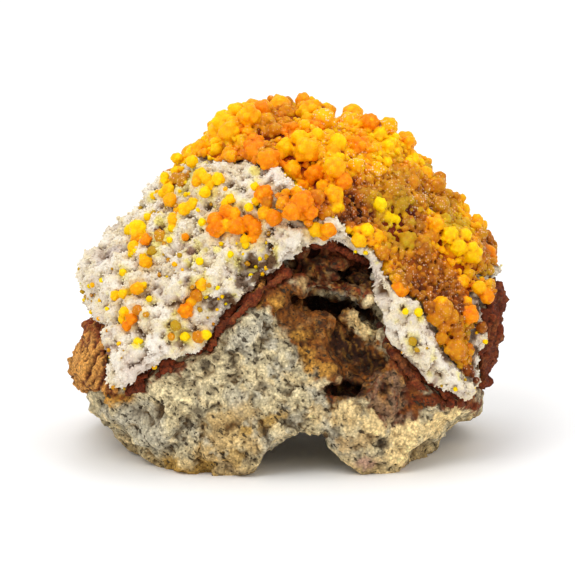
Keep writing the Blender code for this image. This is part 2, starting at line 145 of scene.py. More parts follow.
def joined(name, pieces):
    shape = bmesh.new()
    for piece in pieces:
        shape.from_mesh(piece.data)
        bpy.data.objects.remove(piece)
    mesh = bpy.data.meshes.new(name)
    shape.to_mesh(mesh)
    shape.free()
    return linked(name, mesh)


def meshOfNode(nodeName):
    # a copy of the solid's mesh, in millimetres
    mesh = nodes[nodeName].data.copy()
    mesh.transform(Matrix.Scale(1 / toMetres, 4))
    return mesh


def copyOfNode(nodeName, pieceName):
    mesh = meshOfNode(nodeName)
    mesh.materials.clear()
    return linked(pieceName, mesh)


def pointsOf(mesh):
    co = np.empty(len(mesh.vertices) * 3, np.float32)
    mesh.vertices.foreach_get("co", co)
    return co.reshape(-1, 3).astype(float)


def normalsOf(mesh):
    directions = np.empty(len(mesh.vertices) * 3, np.float32)
    mesh.vertex_normals.foreach_get("vector", directions)
    return directions.reshape(-1, 3).astype(float)


def movePoints(mesh, co):
    mesh.vertices.foreach_set("co", co.astype(np.float32).ravel())
    mesh.update()


def relaxed(mesh, values, rounds):
    # averages values with those of their neighbours along the edges
    ends = np.empty(len(mesh.edges) * 2, np.int32)
    mesh.edges.foreach_get("vertices", ends)
    first, second = ends.reshape(-1, 2).T
    count = len(values)
    share = (np.bincount(first, minlength=count) + np.bincount(second, minlength=count))[:, None]
    wide = values.reshape(count, -1)
    for _ in range(rounds):
        around = [
            np.bincount(first, column[second], count) + np.bincount(second, column[first], count)
            for column in wide.T
        ]
        wide = (wide + np.stack(around, 1) / np.maximum(share, 1)) / 2
    return wide.reshape(values.shape)


def outwardness(co, normal):
    # above nought where a surface faces away from the middle of the rock
    return np.einsum("ij,ij->i", normal, co - np.array(rockMiddle))


def hollowness(mesh, co, rounds):
    # above nought in creases and pits, below it on bumps, in mm
    return np.einsum("ij,ij->i", relaxed(mesh, co, rounds) - co, normalsOf(mesh))


def noiseAt(co, size, seed=0, kind="PERLIN_ORIGINAL"):
    shifted = co / size + np.array((7.3, 3.1, 5.7)) * seed
    return np.array([noise.noise(Vector(place), noise_basis=kind) for place in shifted.tolist()])


def cellsAt(co, size, seed=0):
    # 1 in the middle of a cell and falling towards its edge
    return -noiseAt(co, size, seed, "VORONOI_F1")


def surfaceOf(mesh):
    shape = bmesh.new()
    shape.from_mesh(mesh)
    tree = BVHTree.FromBMesh(shape)
    shape.free()
    return tree


def distancesTo(tree, co):
    return np.array([tree.find_nearest(Vector(p))[3] for p in co.tolist()])


def nearestOf(places, co, count):
    # the numbers of the nearest places to each point, and how far off they are
    tree = KDTree(len(places))
    for index, place in enumerate(places):
        tree.insert(place, index)
    tree.balance()
    found = [tree.find_n(p, count) for p in co.tolist()]
    numbers = np.array([[index for _, index, _ in row] for row in found])
    return numbers, np.array([[distance for _, _, distance in row] for row in found])


def spreadOut(places, spacing, taken=()):
    # picks places at least spacing apart, in the order given; spacing holds a number for each place
    reach = float(np.max(spacing))
    grid = {}
    chosen = []

    def cellOf(p):
        return tuple(int(math.floor(value / reach)) for value in p)

    def near(p, gap):
        x, y, z = cellOf(p)
        for cell in ((x + i, y + j, z + k) for i in (-1, 0, 1) for j in (-1, 0, 1) for k in (-1, 0, 1)):
            for other in grid.get(cell, ()):
                if (p[0] - other[0]) ** 2 + (p[1] - other[1]) ** 2 + (p[2] - other[2]) ** 2 < gap * gap:
                    return True
        return False

    for p in taken:
        grid.setdefault(cellOf(p), []).append(p)
    for index, (p, gap) in enumerate(zip(places, spacing)):
        if not near(p, gap):
            grid.setdefault(cellOf(p), []).append(p)
            chosen.append(index)
    return chosen


def drawn(chance, pool, co, spacing, taken=()):
    # the numbers of some of the points in the pool, drawn at random but at least spacing apart
    chance.shuffle(pool)
    return pool[spreadOut(co[pool].tolist(), spacing[pool], taken)]


def brokenFaces(co, normal, spacing, tipped, seed):
    # how far each point lies along its normal from the flat faces that broken rock would have there
    chance = np.random.default_rng(seed)
    order = chance.permutation(len(co))
    middles = order[spreadOut(co[order].tolist(), np.full(len(co), spacing))]
    planes = normal[middles] + chance.normal(0, tipped, (len(middles), 3))
    planes /= np.linalg.norm(planes, axis=1)[:, None]
    numbers, _ = nearestOf(co[middles].tolist(), co, 3)
    off = np.einsum("nkj,nkj->nk", co[middles][numbers] - co[:, None], planes[numbers])
    slant = np.einsum("nj,nkj->nk", normal, planes[numbers])
    return np.clip(np.median(off / np.maximum(slant, 0.4), axis=1), -0.8, 0.8)


# Colours on the points of a mesh

def keepAttribute(mesh, name, values):
    layer = mesh.attributes.new(name, "FLOAT", "POINT")
    layer.data.foreach_set("value", np.clip(values, 0, 1).astype(np.float32))


def keepTone(mesh, colour):
    layer = mesh.attributes.new("tone", "FLOAT_COLOR", "POINT")
    rgba = np.hstack([np.clip(colour, 0, 1), np.ones((len(colour), 1))])
    layer.data.foreach_set("color", rgba.astype(np.float32).ravel())


def blended(colour, share, tone):
    return colour + np.asarray(share)[:, None] * (np.asarray(tone) - colour)


def darkened(colour, share, tone):
    # multiplies by tone where share is 1
    return colour * (1 + np.asarray(share)[:, None] * (np.asarray(tone) - 1))


def aroundSpot(co, tree, across, up, radius):
    # 1 at a place on the front, fading out around it
    place = tree.ray_cast(fromView(across, up, -clearOfRock), sight)[0]
    if place is None:
        return np.zeros(len(co))
    return np.exp(-((co - np.array(place)) ** 2).sum(1) / radius ** 2)


def painted(colour, co, tree, spots, tones, seed):
    # spots of (across, up, radius, strength, tone) that break up at their edges
    broken = 0.55 * noiseAt(co, 1.3, seed) + 0.4 * noiseAt(co, 0.55, seed + 1)
    for across, up, radius, strength, tone in spots:
        reach = aroundSpot(co, tree, across, up, radius)
        colour = blended(colour, strength * ease(0.22, 0.62, reach + broken * np.sqrt(reach)), tones[tone])
    return colour


def pushed(co, tree, spots):
    # the height of (across, up, radius, height) spots at each point
    height = np.zeros(len(co))
    for across, up, radius, strength in spots:
        height += strength * aroundSpot(co, tree, across, up, radius)
    return height


def offLine(across, up, line):
    # how far each point is, as seen from the front, from a line of (across, up) points
    nearest = np.full(len(across), 1e6)
    for (x0, y0), (x1, y1) in zip(line, line[1:]):
        length = (x1 - x0) ** 2 + (y1 - y0) ** 2
        along = np.clip(((across - x0) * (x1 - x0) + (up - y0) * (y1 - y0)) / length, 0, 1)
        nearest = np.minimum(nearest, np.hypot(across - x0 - along * (x1 - x0), up - y0 - along * (y1 - y0)))
    return nearest


def nearLine(co, line, width):
    # 1 on a line of (across, up) points on the front, fading out at about its width
    across, up, depth = toView(co)
    return np.exp(-((offLine(across, up, line) / width) ** 2)) * (depth < frontDepth)


def within(co, outline, seed):
    # 1 inside an outline of (across, up) points on the front and 0 outside it, with an uneven edge
    across, up, depth = toView(co)
    closed = outline + outline[:1]
    inside = np.zeros(len(co), bool)
    for (x0, y0), (x1, y1) in zip(closed, closed[1:]):
        if y0 != y1:
            inside ^= ((y0 > up) != (y1 > up)) & (across < (x1 - x0) * (up - y0) / (y1 - y0) + x0)
    edge = offLine(across, up, closed) * np.where(inside, 1, -1)
    return ease(-0.3, 0.3, edge + 1.3 * noiseAt(co, 1.1, seed)) * (depth < frontDepth)


def finishPiece(piece, material, replaced):
    # metres, material, smooth shading, and its place in the frame
    piece.data.transform(Matrix.Scale(toMetres, 4))
    piece.data.materials.clear()
    piece.data.materials.append(material)
    piece.data.shade_smooth()
    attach(piece, "root")
    if replaced:
        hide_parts(*replaced)
    count = len(piece.data.loops) - 2 * len(piece.data.polygons)
    print("piece: %s, %d triangles" % (piece.name, count))
    return piece


# Balls, grains and stones

def unitBall(detail):
    shape = bmesh.new()
    bmesh.ops.create_icosphere(shape, subdivisions=detail, radius=1.0)
    co = np.array([vertex.co[:] for vertex in shape.verts])
    faces = np.array([[vertex.index for vertex in face.verts] for face in shape.faces])
    shape.free()
    return co, faces


def unitGrain():
    # two pyramids base to base, with eight faces
    co = np.array([(1, 0, 0), (0, 1, 0), (-1, 0, 0), (0, -1, 0), (0, 0, 1), (0, 0, -1)], float)
    faces = np.array([(0, 1, 4), (1, 2, 4), (2, 3, 4), (3, 0, 4), (1, 0, 5), (2, 1, 5), (3, 2, 5), (0, 3, 5)])
    return co, faces


def manyOf(name, shape, centres, sizes, unevenness, turns=None):
    # copies of a shape in one mesh; sizes holds a radius, or three half sizes, for each
    unit, faces = shape
    count = len(centres)
    chance = np.random.default_rng(len(name) + count)
    if turns is None:
        axes = [Vector(a).normalized() for a in chance.normal(size=(count, 3)).tolist()]
        turns = [Matrix.Rotation(angle, 3, axis) for angle, axis in zip(chance.uniform(0, 6.28, count), axes)]
    shapes = unit[None] * (1 + chance.uniform(-unevenness, unevenness, (count, len(unit), 1)))
    shapes = shapes * np.asarray(sizes, float).reshape(count, 1, -1)
    shapes = np.einsum("nij,nkj->nki", np.array(turns), shapes) + np.asarray(centres, float)[:, None]
    numbers = faces[None] + np.arange(count)[:, None, None] * len(unit)
    mesh = bpy.data.meshes.new(name)
    mesh.from_pydata(shapes.reshape(-1, 3).tolist(), [], numbers.reshape(-1, 3).tolist())
    mesh.update()
    return linked(name, mesh)


def stonesFrom(name, rows):
    # lumps of (across, up, depth, half sizes across, in and up, degrees turned as seen from the camera)
    axes = Matrix((right, sight, upward)).transposed()
    centres = [fromView(across, up, depth)[:] for across, up, depth, _, _ in rows]
    turns = [axes @ Matrix.Rotation(math.radians(-turn), 3, "Y") for _, _, _, _, turn in rows]
    return manyOf(name, unitBall(2), centres, [size for _, _, _, size, _ in rows], 0.16, turns)


# Shader building

def addNode(tree, kind, inputs=None, **settings):
    made = tree.nodes.new(kind)
    for name, value in settings.items():
        setattr(made, name, value)
    for name, value in (inputs or {}).items():
        if isinstance(value, bpy.types.NodeSocket):
            tree.links.new(value, made.inputs[name])
        else:
            made.inputs[name].default_value = value
    return made


def mixed(tree, share, first, second, blend="MIX"):
    made = addNode(tree, "ShaderNodeMix", {0: share, 6: first, 7: second}, data_type="RGBA", blend_type=blend)
    return made.outputs[2]


def worked(tree, operation, first, second=0.0, clamped=False):
    made = addNode(tree, "ShaderNodeMath", {0: first, 1: second}, operation=operation, use_clamp=clamped)
    return made.outputs[0]


def ranged(tree, value, low, high, newLow=0.0, newHigh=1.0):
    inputs = {"Value": value, "From Min": low, "From Max": high, "To Min": newLow, "To Max": newHigh}
    return addNode(tree, "ShaderNodeMapRange", inputs).outputs[0]


def attribute(tree, name, output="Fac"):
    return addNode(tree, "ShaderNodeAttribute", attribute_name=name).outputs[output]


def rgb(red, green, blue):
    return (red, green, blue, 1.0)


def newGroup(name, inputs, outputs):
    group = bpy.data.node_groups.new(name, "ShaderNodeTree")
    for label, kind, value in inputs:
        group.interface.new_socket(label, in_out="INPUT", socket_type=kind).default_value = value
    for label, kind in outputs:
        group.interface.new_socket(label, in_out="OUTPUT", socket_type=kind)
    return group, addNode(group, "NodeGroupInput").outputs, addNode(group, "NodeGroupOutput").inputs


def millimetres(tree, size):
    # object coordinates counted in steps of size millimetres
    where = addNode(tree, "ShaderNodeTexCoord").outputs["Object"]
    scale = worked(tree, "DIVIDE", 1 / toMetres, size)
    return addNode(tree, "ShaderNodeVectorMath", {0: where, "Scale": scale}, operation="SCALE").outputs[0]


def makeGrainGroup():
    # crystalline grain: small cells broken up by noise, and a few round glints
    group, given, out = newGroup(
        "crystalGrain",
        [("Size", "NodeSocketFloat", 0.5), ("Roughness", "NodeSocketFloat", 0.6)],
        [("Grain", "NodeSocketFloat"), ("Glints", "NodeSocketFloat")],
    )
    where = millimetres(group, given["Size"])
    noiseInputs = {"Vector": where, "Scale": 1.0, "Detail": 5.0, "Roughness": given["Roughness"]}
    fine = addNode(group, "ShaderNodeTexNoise", noiseInputs).outputs["Fac"]
    cells = addNode(group, "ShaderNodeTexVoronoi", {"Vector": where, "Scale": 1.0})
    inside = worked(group, "SUBTRACT", 1.0, cells.outputs["Distance"])
    grain = worked(group, "ADD", worked(group, "MULTIPLY", fine, 0.6), worked(group, "MULTIPLY", inside, 0.4))
    chosen = addNode(group, "ShaderNodeSeparateColor", {"Color": cells.outputs["Color"]}).outputs["Red"]
    few = ranged(group, chosen, 0.6, 0.8)
    dot = ranged(group, cells.outputs["Distance"], 0.5, 0.28)
    group.links.new(grain, out["Grain"])
    group.links.new(worked(group, "MULTIPLY", few, dot), out["Glints"])
    return group


def makeSpeckGroup():
    # dark pits and specks drawn out along one direction, with ragged edges
    group, given, out = newGroup(
        "slantedSpecks",
        [("Size", "NodeSocketFloat", 1.0), ("Stretch", "NodeSocketFloat", 2.5),
         ("Slant", "NodeSocketFloat", 0.6), ("Amount", "NodeSocketFloat", 0.3)],
        [("Specks", "NodeSocketFloat")],
    )
    turn = addNode(group, "ShaderNodeCombineXYZ", {"Y": given["Slant"]}).outputs[0]
    turned = addNode(group, "ShaderNodeVectorRotate", {"Vector": millimetres(group, given["Size"]),
                                                       "Rotation": turn}, rotation_type="EULER_XYZ")
    narrow = worked(group, "DIVIDE", 1.0, given["Stretch"])
    squeeze = addNode(group, "ShaderNodeCombineXYZ", {"X": narrow, "Y": 1.0, "Z": 1.0}).outputs[0]
    drawn = addNode(group, "ShaderNodeVectorMath", {0: turned.outputs[0], 1: squeeze}, operation="MULTIPLY")
    where = drawn.outputs[0]
    for scale, reach in ((1.3, 0.9), (4.0, 0.4)):
        wander = addNode(group, "ShaderNodeTexNoise", {"Vector": where, "Scale": scale, "Detail": 3.0})
        bend = addNode(group, "ShaderNodeVectorMath", {0: wander.outputs["Color"], "Scale": reach},
                       operation="SCALE")
        moved = addNode(group, "ShaderNodeVectorMath", {0: where, 1: bend.outputs[0]}, operation="ADD")
        where = moved.outputs[0]
    cells = addNode(group, "ShaderNodeTexVoronoi", {"Vector": where, "Scale": 1.0})
    chosen = addNode(group, "ShaderNodeSeparateColor", {"Color": cells.outputs["Color"]}).outputs["Green"]
    kept = ranged(group, worked(group, "SUBTRACT", given["Amount"], chosen), 0.0, 0.2)
    size = worked(group, "MULTIPLY", kept, 0.34)
    near = ranged(group, worked(group, "SUBTRACT", size, cells.outputs["Distance"]), -0.02, 0.09)
    group.links.new(near, out["Specks"])
    return group


def makeMottleGroup():
    # lighter and darker grain on a colour, and dark specks
    group, given, out = newGroup(
        "mottled",
        [("Colour", "NodeSocketColor", rgb(0.5, 0.5, 0.5)), ("Grain", "NodeSocketFloat", 0.5),
         ("Contrast", "NodeSocketFloat", 0.3), ("Specks", "NodeSocketFloat", 0.0),
         ("Speck Colour", "NodeSocketColor", rgb(0.05, 0.04, 0.03))],
        [("Colour", "NodeSocketColor")],
    )
    swing = worked(group, "MULTIPLY", ranged(group, given["Grain"], 0.3, 0.75, -1.0, 1.0), given["Contrast"])
    shade = worked(group, "ADD", swing, 1.0)
    grey = addNode(group, "ShaderNodeCombineColor", {0: shade, 1: shade, 2: shade}).outputs[0]
    shaded = mixed(group, 1.0, given["Colour"], grey, "MULTIPLY")
    group.links.new(mixed(group, given["Specks"], shaded, given["Speck Colour"]), out["Colour"])
    return group


grainGroup = makeGrainGroup()
speckGroup = makeSpeckGroup()
mottleGroup = makeMottleGroup()


def useGroup(tree, group, **inputs):
    made = tree.nodes.new("ShaderNodeGroup")
    made.node_tree = group
    for name, value in inputs.items():
        socket = made.inputs[name.replace("_", " ")]
        if isinstance(value, bpy.types.NodeSocket):
            tree.links.new(value, socket)
        else:
            socket.default_value = value
    return made.outputs


def newMaterial(name):
    material = bpy.data.materials.new(name)
    material.use_nodes = True
    tree = material.node_tree
    return material, tree, tree.nodes["Principled BSDF"]


def bumped(tree, height, distance, strength=1.0):
    inputs = {"Height": height, "Strength": strength, "Distance": distance * toMetres}
    return addNode(tree, "ShaderNodeBump", inputs).outputs["Normal"]


def lightInside(shader, look):
    shader.inputs["Subsurface Weight"].default_value = look["subsurface"]
    shader.inputs["Subsurface Radius"].default_value = look["scatter"]
    shader.inputs["Subsurface Scale"].default_value = look["glow"] * toMetres


def makeStoneMaterial(name, stone):
    # the tone of each point, with grain, specks, roughness and relief
    material, tree, shader = newMaterial(name)
    grain = useGroup(tree, grainGroup, Size=stone["grainSize"], Roughness=0.7)["Grain"]
    specks = useGroup(tree, speckGroup, Size=stone["speckSize"], Stretch=stone["speckStretch"], Slant=-0.8,
                      Amount=stone["speckAmount"])["Specks"]
    crumbs = useGroup(tree, speckGroup, Size=stone["speckSize"] * 0.42, Stretch=1.3, Slant=0.2,
                      Amount=stone["speckAmount"] * 0.8)["Specks"]
    spotted = worked(tree, "MULTIPLY", worked(tree, "MAXIMUM", specks, crumbs), attribute(tree, "speckled"))
    colour = useGroup(tree, mottleGroup, Colour=attribute(tree, "tone", "Color"), Grain=grain,
                      Contrast=stone["contrast"], Specks=spotted, Speck_Colour=rgb(*stone["speck"]))["Colour"]
    tree.links.new(colour, shader.inputs["Base Color"])
    tree.links.new(ranged(tree, grain, 0.3, 0.8, 0.7, 0.95), shader.inputs["Roughness"])
    height = worked(tree, "SUBTRACT", grain, spotted)
    tree.links.new(bumped(tree, height, stone["relief"], 0.8), shader.inputs["Normal"])
    shader.inputs["Specular IOR Level"].default_value = stone["specular"]
    return material, shader


print("shader groups ready")


# Host rock: grey to cream, broken and pitted, rusty in its hollows and ochre along its lower edge
rock = {
    "cell": 0.33,                      # mm between points of the mesh
    "triangles": 165000,
    "softening": 4,                    # rounds of smoothing
    "footHeight": 0.1,                 # points below this are on the feet and stay flat, mm
    "warp": (0.35, 6.5),               # height and size of the broad unevenness, mm
    "faces": (3.4, 0.30, 1.0),         # size of the broken faces in mm, how tipped, and how flat (0 to 1)
    "chips": (1.3, 0.22, 0.6),         # the same for the smaller ones on them
    "tooth": (0.07, 0.6),              # height and size of the fine roughness, mm
    "pits": (0.34, 0.8),
    "seamShrink": 0.12,                # mm that it draws back behind the seam
    "seamReach": (0.9, 0.35),          # how near the seam that begins and is complete
    "ragged": (0.55, 1.6),             # of the lumps in the hollows
    "gritty": (0.28, 0.6),
    "cracks": (0.5, 0.35),             # depth and width, mm
    "ridges": (0.75, 0.7),             # height and width
    "grainSize": 0.4,
    "speckSize": 0.8,
    "speckStretch": 2.0,
    "speckAmount": 0.52,
    "speckStrength": 0.95,
    "contrast": 0.5,
    "relief": 0.25,                    # mm
    "specular": 0.2,
    "speck": (0.045, 0.03, 0.016),
    "grey": (0.49, 0.41, 0.245),
    # colour that the painted shade in creases and hollows multiplies by
    "paintedCreviceShade": (0.22, 0.145, 0.085),
}
rockTones = {
    "grey": (0.42, 0.35, 0.21), "pale": (0.68, 0.56, 0.32), "cool": (0.50, 0.45, 0.33),
    "cream": (0.86, 0.63, 0.29), "tan": (0.50, 0.33, 0.14), "amber": (0.54, 0.36, 0.14),
    "ochre": (0.44, 0.26, 0.06), "gold": (0.52, 0.25, 0.04), "rust": (0.23, 0.072, 0.010),
    "brick": (0.17, 0.032, 0.007), "plum": (0.24, 0.135, 0.075), "umber": (0.045, 0.014, 0.005),
    "shadow": (0.10, 0.07, 0.04), "pink": (0.52, 0.30, 0.22),
}
rockStones = [
    (9.7, 21.1, -14.6, (2.3, 1.6, 1.15), -35), (8.2, 22.2, -15.6, (1.0, 0.9, 0.7), 10),
    (2.4, 22.4, -15.6, (2.2, 2.0, 1.1), -32), (5.0, 20.8, -14.9, (2.2, 2.2, 1.2), -38),
    (2.3, 28.0, -13.6, (1.5, 1.6, 1.0), 10), (5.4, 28.0, -13.8, (1.7, 1.6, 1.1), -20),
    (14.1, 17.7, -18.6, (1.1, 0.9, 0.5), -15), (12.9, 20.7, -18.0, (1.0, 0.9, 0.6), 25),
    (7.2, 29.8, -15.0, (1.4, 1.3, 1.2), 0), (2.3, 29.9, -13.2, (2.3, 2.2, 1.5), -25),
    (4.7, 30.2, -13.4, (1.8, 2.0, 1.4), 10), (10.4, 27.4, -12.8, (2.0, 2.0, 1.7), -25),
]
rockDents = [
    (2.0, 29.4, 0.9, 1.3), (8.8, 27.2, 1.3, 1.4), (7.1, 23.5, 0.9, 0.9), (3.4, 24.4, 0.7, 0.8),
    (13.5, 4.3, 0.9, 1.1), (21.7, 6.8, 0.6, 0.6), (23.8, 7.1, 0.5, 0.6), (19.5, 4.3, 0.6, 0.6),
    (-11.8, 15.4, 0.7, 0.8), (-9.4, 16.0, 0.7, 0.7), (-5.7, 16.8, 0.6, 0.6), (-15.7, 9.3, 0.5, 0.5),
    (-17.8, 12.1, 0.5, 0.5), (-14.0, 7.1, 0.5, 0.5), (-19.7, 4.3, 0.5, 0.5), (-10.4, 9.7, 0.6, 0.6),
    (-3.7, 11.1, 0.6, 0.7), (14.5, 14.0, 0.6, 0.5), (9.5, 14.5, 0.7, 0.6), (1.7, 17.1, 0.6, 0.5),
]
rockRagged = [
    (1.7, 27.8, 3.1, 1.0), (6.0, 26.4, 3.4, 1.0), (10.3, 24.9, 3.4, 1.0), (8.1, 19.9, 3.7, 0.9),
    (12.4, 17.1, 3.1, 0.9), (14.5, 12.1, 3.4, 0.9), (3.1, 19.9, 3.4, 0.5), (7.4, 11.7, 4.3, 0.8),
    (7.4, 7.8, 2.8, 0.5),
]
rockCracks = [
    [(-10.4, 11.4), (-6.1, 14.0), (-0.4, 17.1)], [(-16.8, 10.0), (-13.3, 12.1), (-10.4, 14.5), (-6.8, 17.8)],
    [(-24.2, 7.4), (-19.7, 4.7), (-17.4, 1.6)], [(-12.5, 10.0), (-12.0, 5.7), (-12.5, 1.4)],
    [(-3.7, 18.5), (-4.6, 15.0), (-3.7, 10.7), (-4.7, 7.8)], [(1.7, 9.3), (6.0, 8.8), (10.5, 9.7)],
    [(10.3, 5.7), (13.8, 4.0), (16.0, 2.8)], [(-19.7, 13.5), (-16.5, 10.7), (-14.0, 6.4)],
]
rockRidges = [
    [(-4.6, 25.9), (-2.8, 22.5), (-1.7, 19.2), (0.3, 15.7), (2.0, 12.8), (2.6, 10.0)],
    [(0.0, 26.5), (4.3, 25.8), (8.1, 24.5), (11.4, 24.1)],
    [(20.2, 9.8), (23.8, 10.0), (26.6, 9.4)],
]
# Stained parts: the tone, a second tone that mottles it, and the outline. The near-black umber in the deep
# hole and the upper hollow is partly the dark oxide there and partly painted shade of their depths
rockPatches = [
    ("rust", "umber", [
        (-5.4, 26.0), (-0.4, 27.4), (4.6, 24.4), (8.1, 22.6), (9.1, 20.0), (12.8, 17.8), (15.2, 14.3),
        (13.8, 10.0), (11.0, 10.3), (8.1, 12.1), (4.3, 13.2), (1.7, 16.8), (-0.2, 20.7), (-3.1, 22.8),
    ]),
    ("umber", "rust", [(1.7, 25.5), (7.4, 24.2), (11.4, 23.4), (12.4, 21.6), (8.1, 22.2), (3.1, 23.5)]),
    ("brick", "umber", [
        (-0.8, 28.6), (3.1, 32.2), (6.7, 33.0), (9.5, 31.0), (13.4, 29.0), (14.2, 24.9), (12.0, 24.4),
        (8.1, 25.0), (3.1, 26.2), (0.0, 27.0),
    ]),
    ("umber", "brick", [
        (1.7, 29.2), (4.8, 30.4), (8.0, 28.2), (10.0, 29.4), (12.4, 27.5), (12.6, 25.4), (8.5, 26.4),
    ]),
    ("plum", "brick", [(11.7, 14.0), (15.2, 14.3), (18.4, 11.4), (18.1, 7.4), (13.8, 6.4), (11.4, 9.3)]),
    ("brick", "rust", [
        (14.6, 15.6), (17.6, 13.7), (20.2, 11.1), (28.1, 10.4), (28.6, 9.4), (26.5, 8.1), (22.6, 9.4),
        (19.8, 9.7), (18.1, 8.0), (16.0, 8.4), (16.7, 11.4),
    ]),
    ("umber", "brick", [(4.4, 13.0), (8.4, 13.5), (11.4, 12.3), (11.0, 10.2), (5.6, 9.8)]),
]
# spots of (across, up, radius, strength, tone); the shadow spots are painted shade, and so in part are the
# umber spots in the hollows and the hole
rockSpots = [
    (-25.1, 11.1, 2.3, 1.0, "gold"), (-23.0, 10.2, 1.6, 1.0, "gold"), (21.5, 7.8, 2.2, 1.0, "cream"),
    (-19.7, 6.4, 4.3, 0.8, "cool"), (-22.5, 7.8, 2.3, 0.8, "cool"), (-16.8, 11.1, 2.3, 0.9, "pale"),
    (-11.8, 12.1, 2.8, 0.7, "pale"), (-8.3, 14.0, 2.3, 0.7, "pale"), (-14.0, 4.3, 2.6, 0.5, "grey"),
    (-9.0, 5.7, 3.1, 0.9, "amber"), (-5.4, 4.3, 2.3, 0.8, "amber"), (-11.8, 2.6, 2.0, 0.8, "amber"),
    (-6.4, 8.5, 2.0, 0.6, "amber"), (-16.1, 0.6, 2.3, 1.0, "ochre"), (-11.8, 0.4, 2.3, 1.0, "ochre"),
    (-7.6, 2.1, 1.7, 0.7, "ochre"), (-5.4, 5.7, 1.3, 0.9, "ochre"), (-2.8, 7.1, 1.3, 0.9, "ochre"),
    (-0.7, 8.3, 1.1, 0.8, "ochre"), (-22.9, 3.6, 1.3, 0.9, "pink"), (-20.8, 1.1, 1.1, 0.6, "ochre"),
    (-10.4, 17.8, 2.0, 0.6, "pale"), (-6.1, 19.2, 1.7, 0.8, "cool"), (-3.3, 20.2, 1.7, 1.0, "cool"),
    (-2.3, 17.8, 1.3, 1.0, "cool"), (-0.4, 16.0, 1.1, 1.0, "pale"), (1.7, 14.0, 1.3, 1.0, "pale"),
    (-4.7, 13.5, 2.0, 0.7, "pale"), (-7.6, 10.7, 1.7, 0.5, "cool"), (-11.8, 15.0, 0.9, 0.9, "shadow"),
    (-10.0, 16.0, 0.9, 0.9, "shadow"), (-8.0, 15.4, 1.0, 0.8, "shadow"), (-5.8, 16.8, 0.9, 0.7, "shadow"),
    (-10.8, 11.4, 1.0, 0.7, "shadow"), (-3.7, 12.1, 1.0, 0.7, "shadow"), (-3.7, 25.2, 1.3, 1.0, "rust"),
    (-1.9, 23.9, 1.3, 1.0, "gold"), (-3.7, 23.4, 0.9, 0.9, "gold"), (0.3, 24.2, 1.6, 1.0, "rust"),
    (1.7, 22.5, 1.9, 1.0, "rust"), (0.3, 20.5, 1.5, 0.9, "rust"), (1.7, 19.2, 1.3, 0.9, "gold"),
    (4.0, 21.1, 2.1, 1.0, "rust"), (4.3, 18.2, 2.0, 1.0, "rust"), (6.7, 18.8, 2.1, 1.0, "umber"),
    (6.0, 16.4, 2.0, 1.0, "rust"), (2.6, 16.8, 1.3, 0.9, "gold"), (3.4, 15.0, 1.3, 0.9, "gold"),
    (8.8, 16.8, 2.1, 1.0, "umber"), (8.8, 14.5, 1.9, 1.0, "plum"), (11.7, 15.7, 2.0, 1.0, "umber"),
    (12.0, 13.1, 2.1, 1.0, "plum"), (13.8, 10.7, 1.9, 1.0, "plum"), (14.2, 14.5, 1.9, 1.0, "brick"),
    (16.0, 11.4, 1.9, 1.0, "brick"), (16.2, 8.8, 1.4, 0.9, "brick"), (13.8, 8.3, 1.5, 0.9, "plum"),
    (5.7, 14.0, 1.3, 0.9, "gold"), (7.4, 13.1, 1.0, 0.8, "tan"), (3.1, 13.1, 0.9, 0.9, "cream"),
    (1.0, 29.6, 1.9, 1.0, "rust"), (2.1, 29.2, 0.9, 1.0, "umber"), (3.8, 28.5, 2.0, 1.0, "rust"),
    (6.0, 27.8, 2.0, 1.0, "rust"), (7.3, 29.6, 1.6, 1.0, "brick"), (8.1, 27.8, 1.6, 1.0, "umber"),
    (10.0, 26.4, 2.0, 1.0, "umber"), (11.7, 24.9, 1.5, 1.0, "umber"), (3.1, 24.7, 1.6, 1.0, "umber"),
    (5.3, 23.8, 1.6, 1.0, "umber"), (7.7, 22.9, 1.5, 1.0, "umber"), (11.0, 22.5, 1.4, 1.0, "brick"),
    (1.7, 26.4, 1.1, 0.9, "tan"), (3.8, 25.9, 1.1, 0.8, "tan"), (6.3, 25.1, 1.1, 0.8, "tan"),
    (8.8, 24.2, 1.1, 0.9, "tan"), (11.0, 23.9, 0.9, 0.9, "cream"), (6.7, 24.7, 0.6, 0.9, "cream"),
    (12.0, 24.2, 1.0, 0.9, "brick"), (9.9, 21.1, 1.7, 1.0, "cream"), (8.2, 22.2, 0.9, 1.0, "pale"),
    (11.2, 19.9, 1.2, 1.0, "cream"), (14.1, 17.7, 1.0, 1.0, "gold"), (12.9, 20.7, 0.9, 1.0, "brick"),
    (7.8, 11.7, 3.0, 1.0, "umber"), (6.7, 11.7, 1.3, 0.9, "brick"), (6.0, 10.4, 0.7, 1.0, "gold"),
    (-2.6, 10.0, 1.7, 0.6, "pale"), (1.7, 10.0, 1.7, 0.7, "pale"), (3.8, 8.3, 1.7, 0.6, "cream"),
    (8.1, 8.3, 2.3, 0.9, "cream"), (12.4, 7.1, 2.3, 1.0, "cream"), (16.7, 5.7, 2.6, 1.0, "cream"),
    (20.2, 6.4, 2.3, 1.0, "cream"), (23.1, 8.3, 2.0, 1.0, "cream"), (25.9, 9.3, 1.1, 0.7, "brick"),
    (16.0, 2.8, 2.3, 1.0, "cream"), (13.5, 4.3, 1.0, 0.9, "shadow"), (10.3, 4.3, 1.7, 0.8, "tan"),
    (21.7, 9.7, 0.9, 0.6, "tan"), (8.1, 4.3, 1.4, 0.8, "tan"), (11.0, 1.1, 1.4, 0.7, "pink"),
    (16.0, 1.1, 1.1, 0.7, "pink"),
]


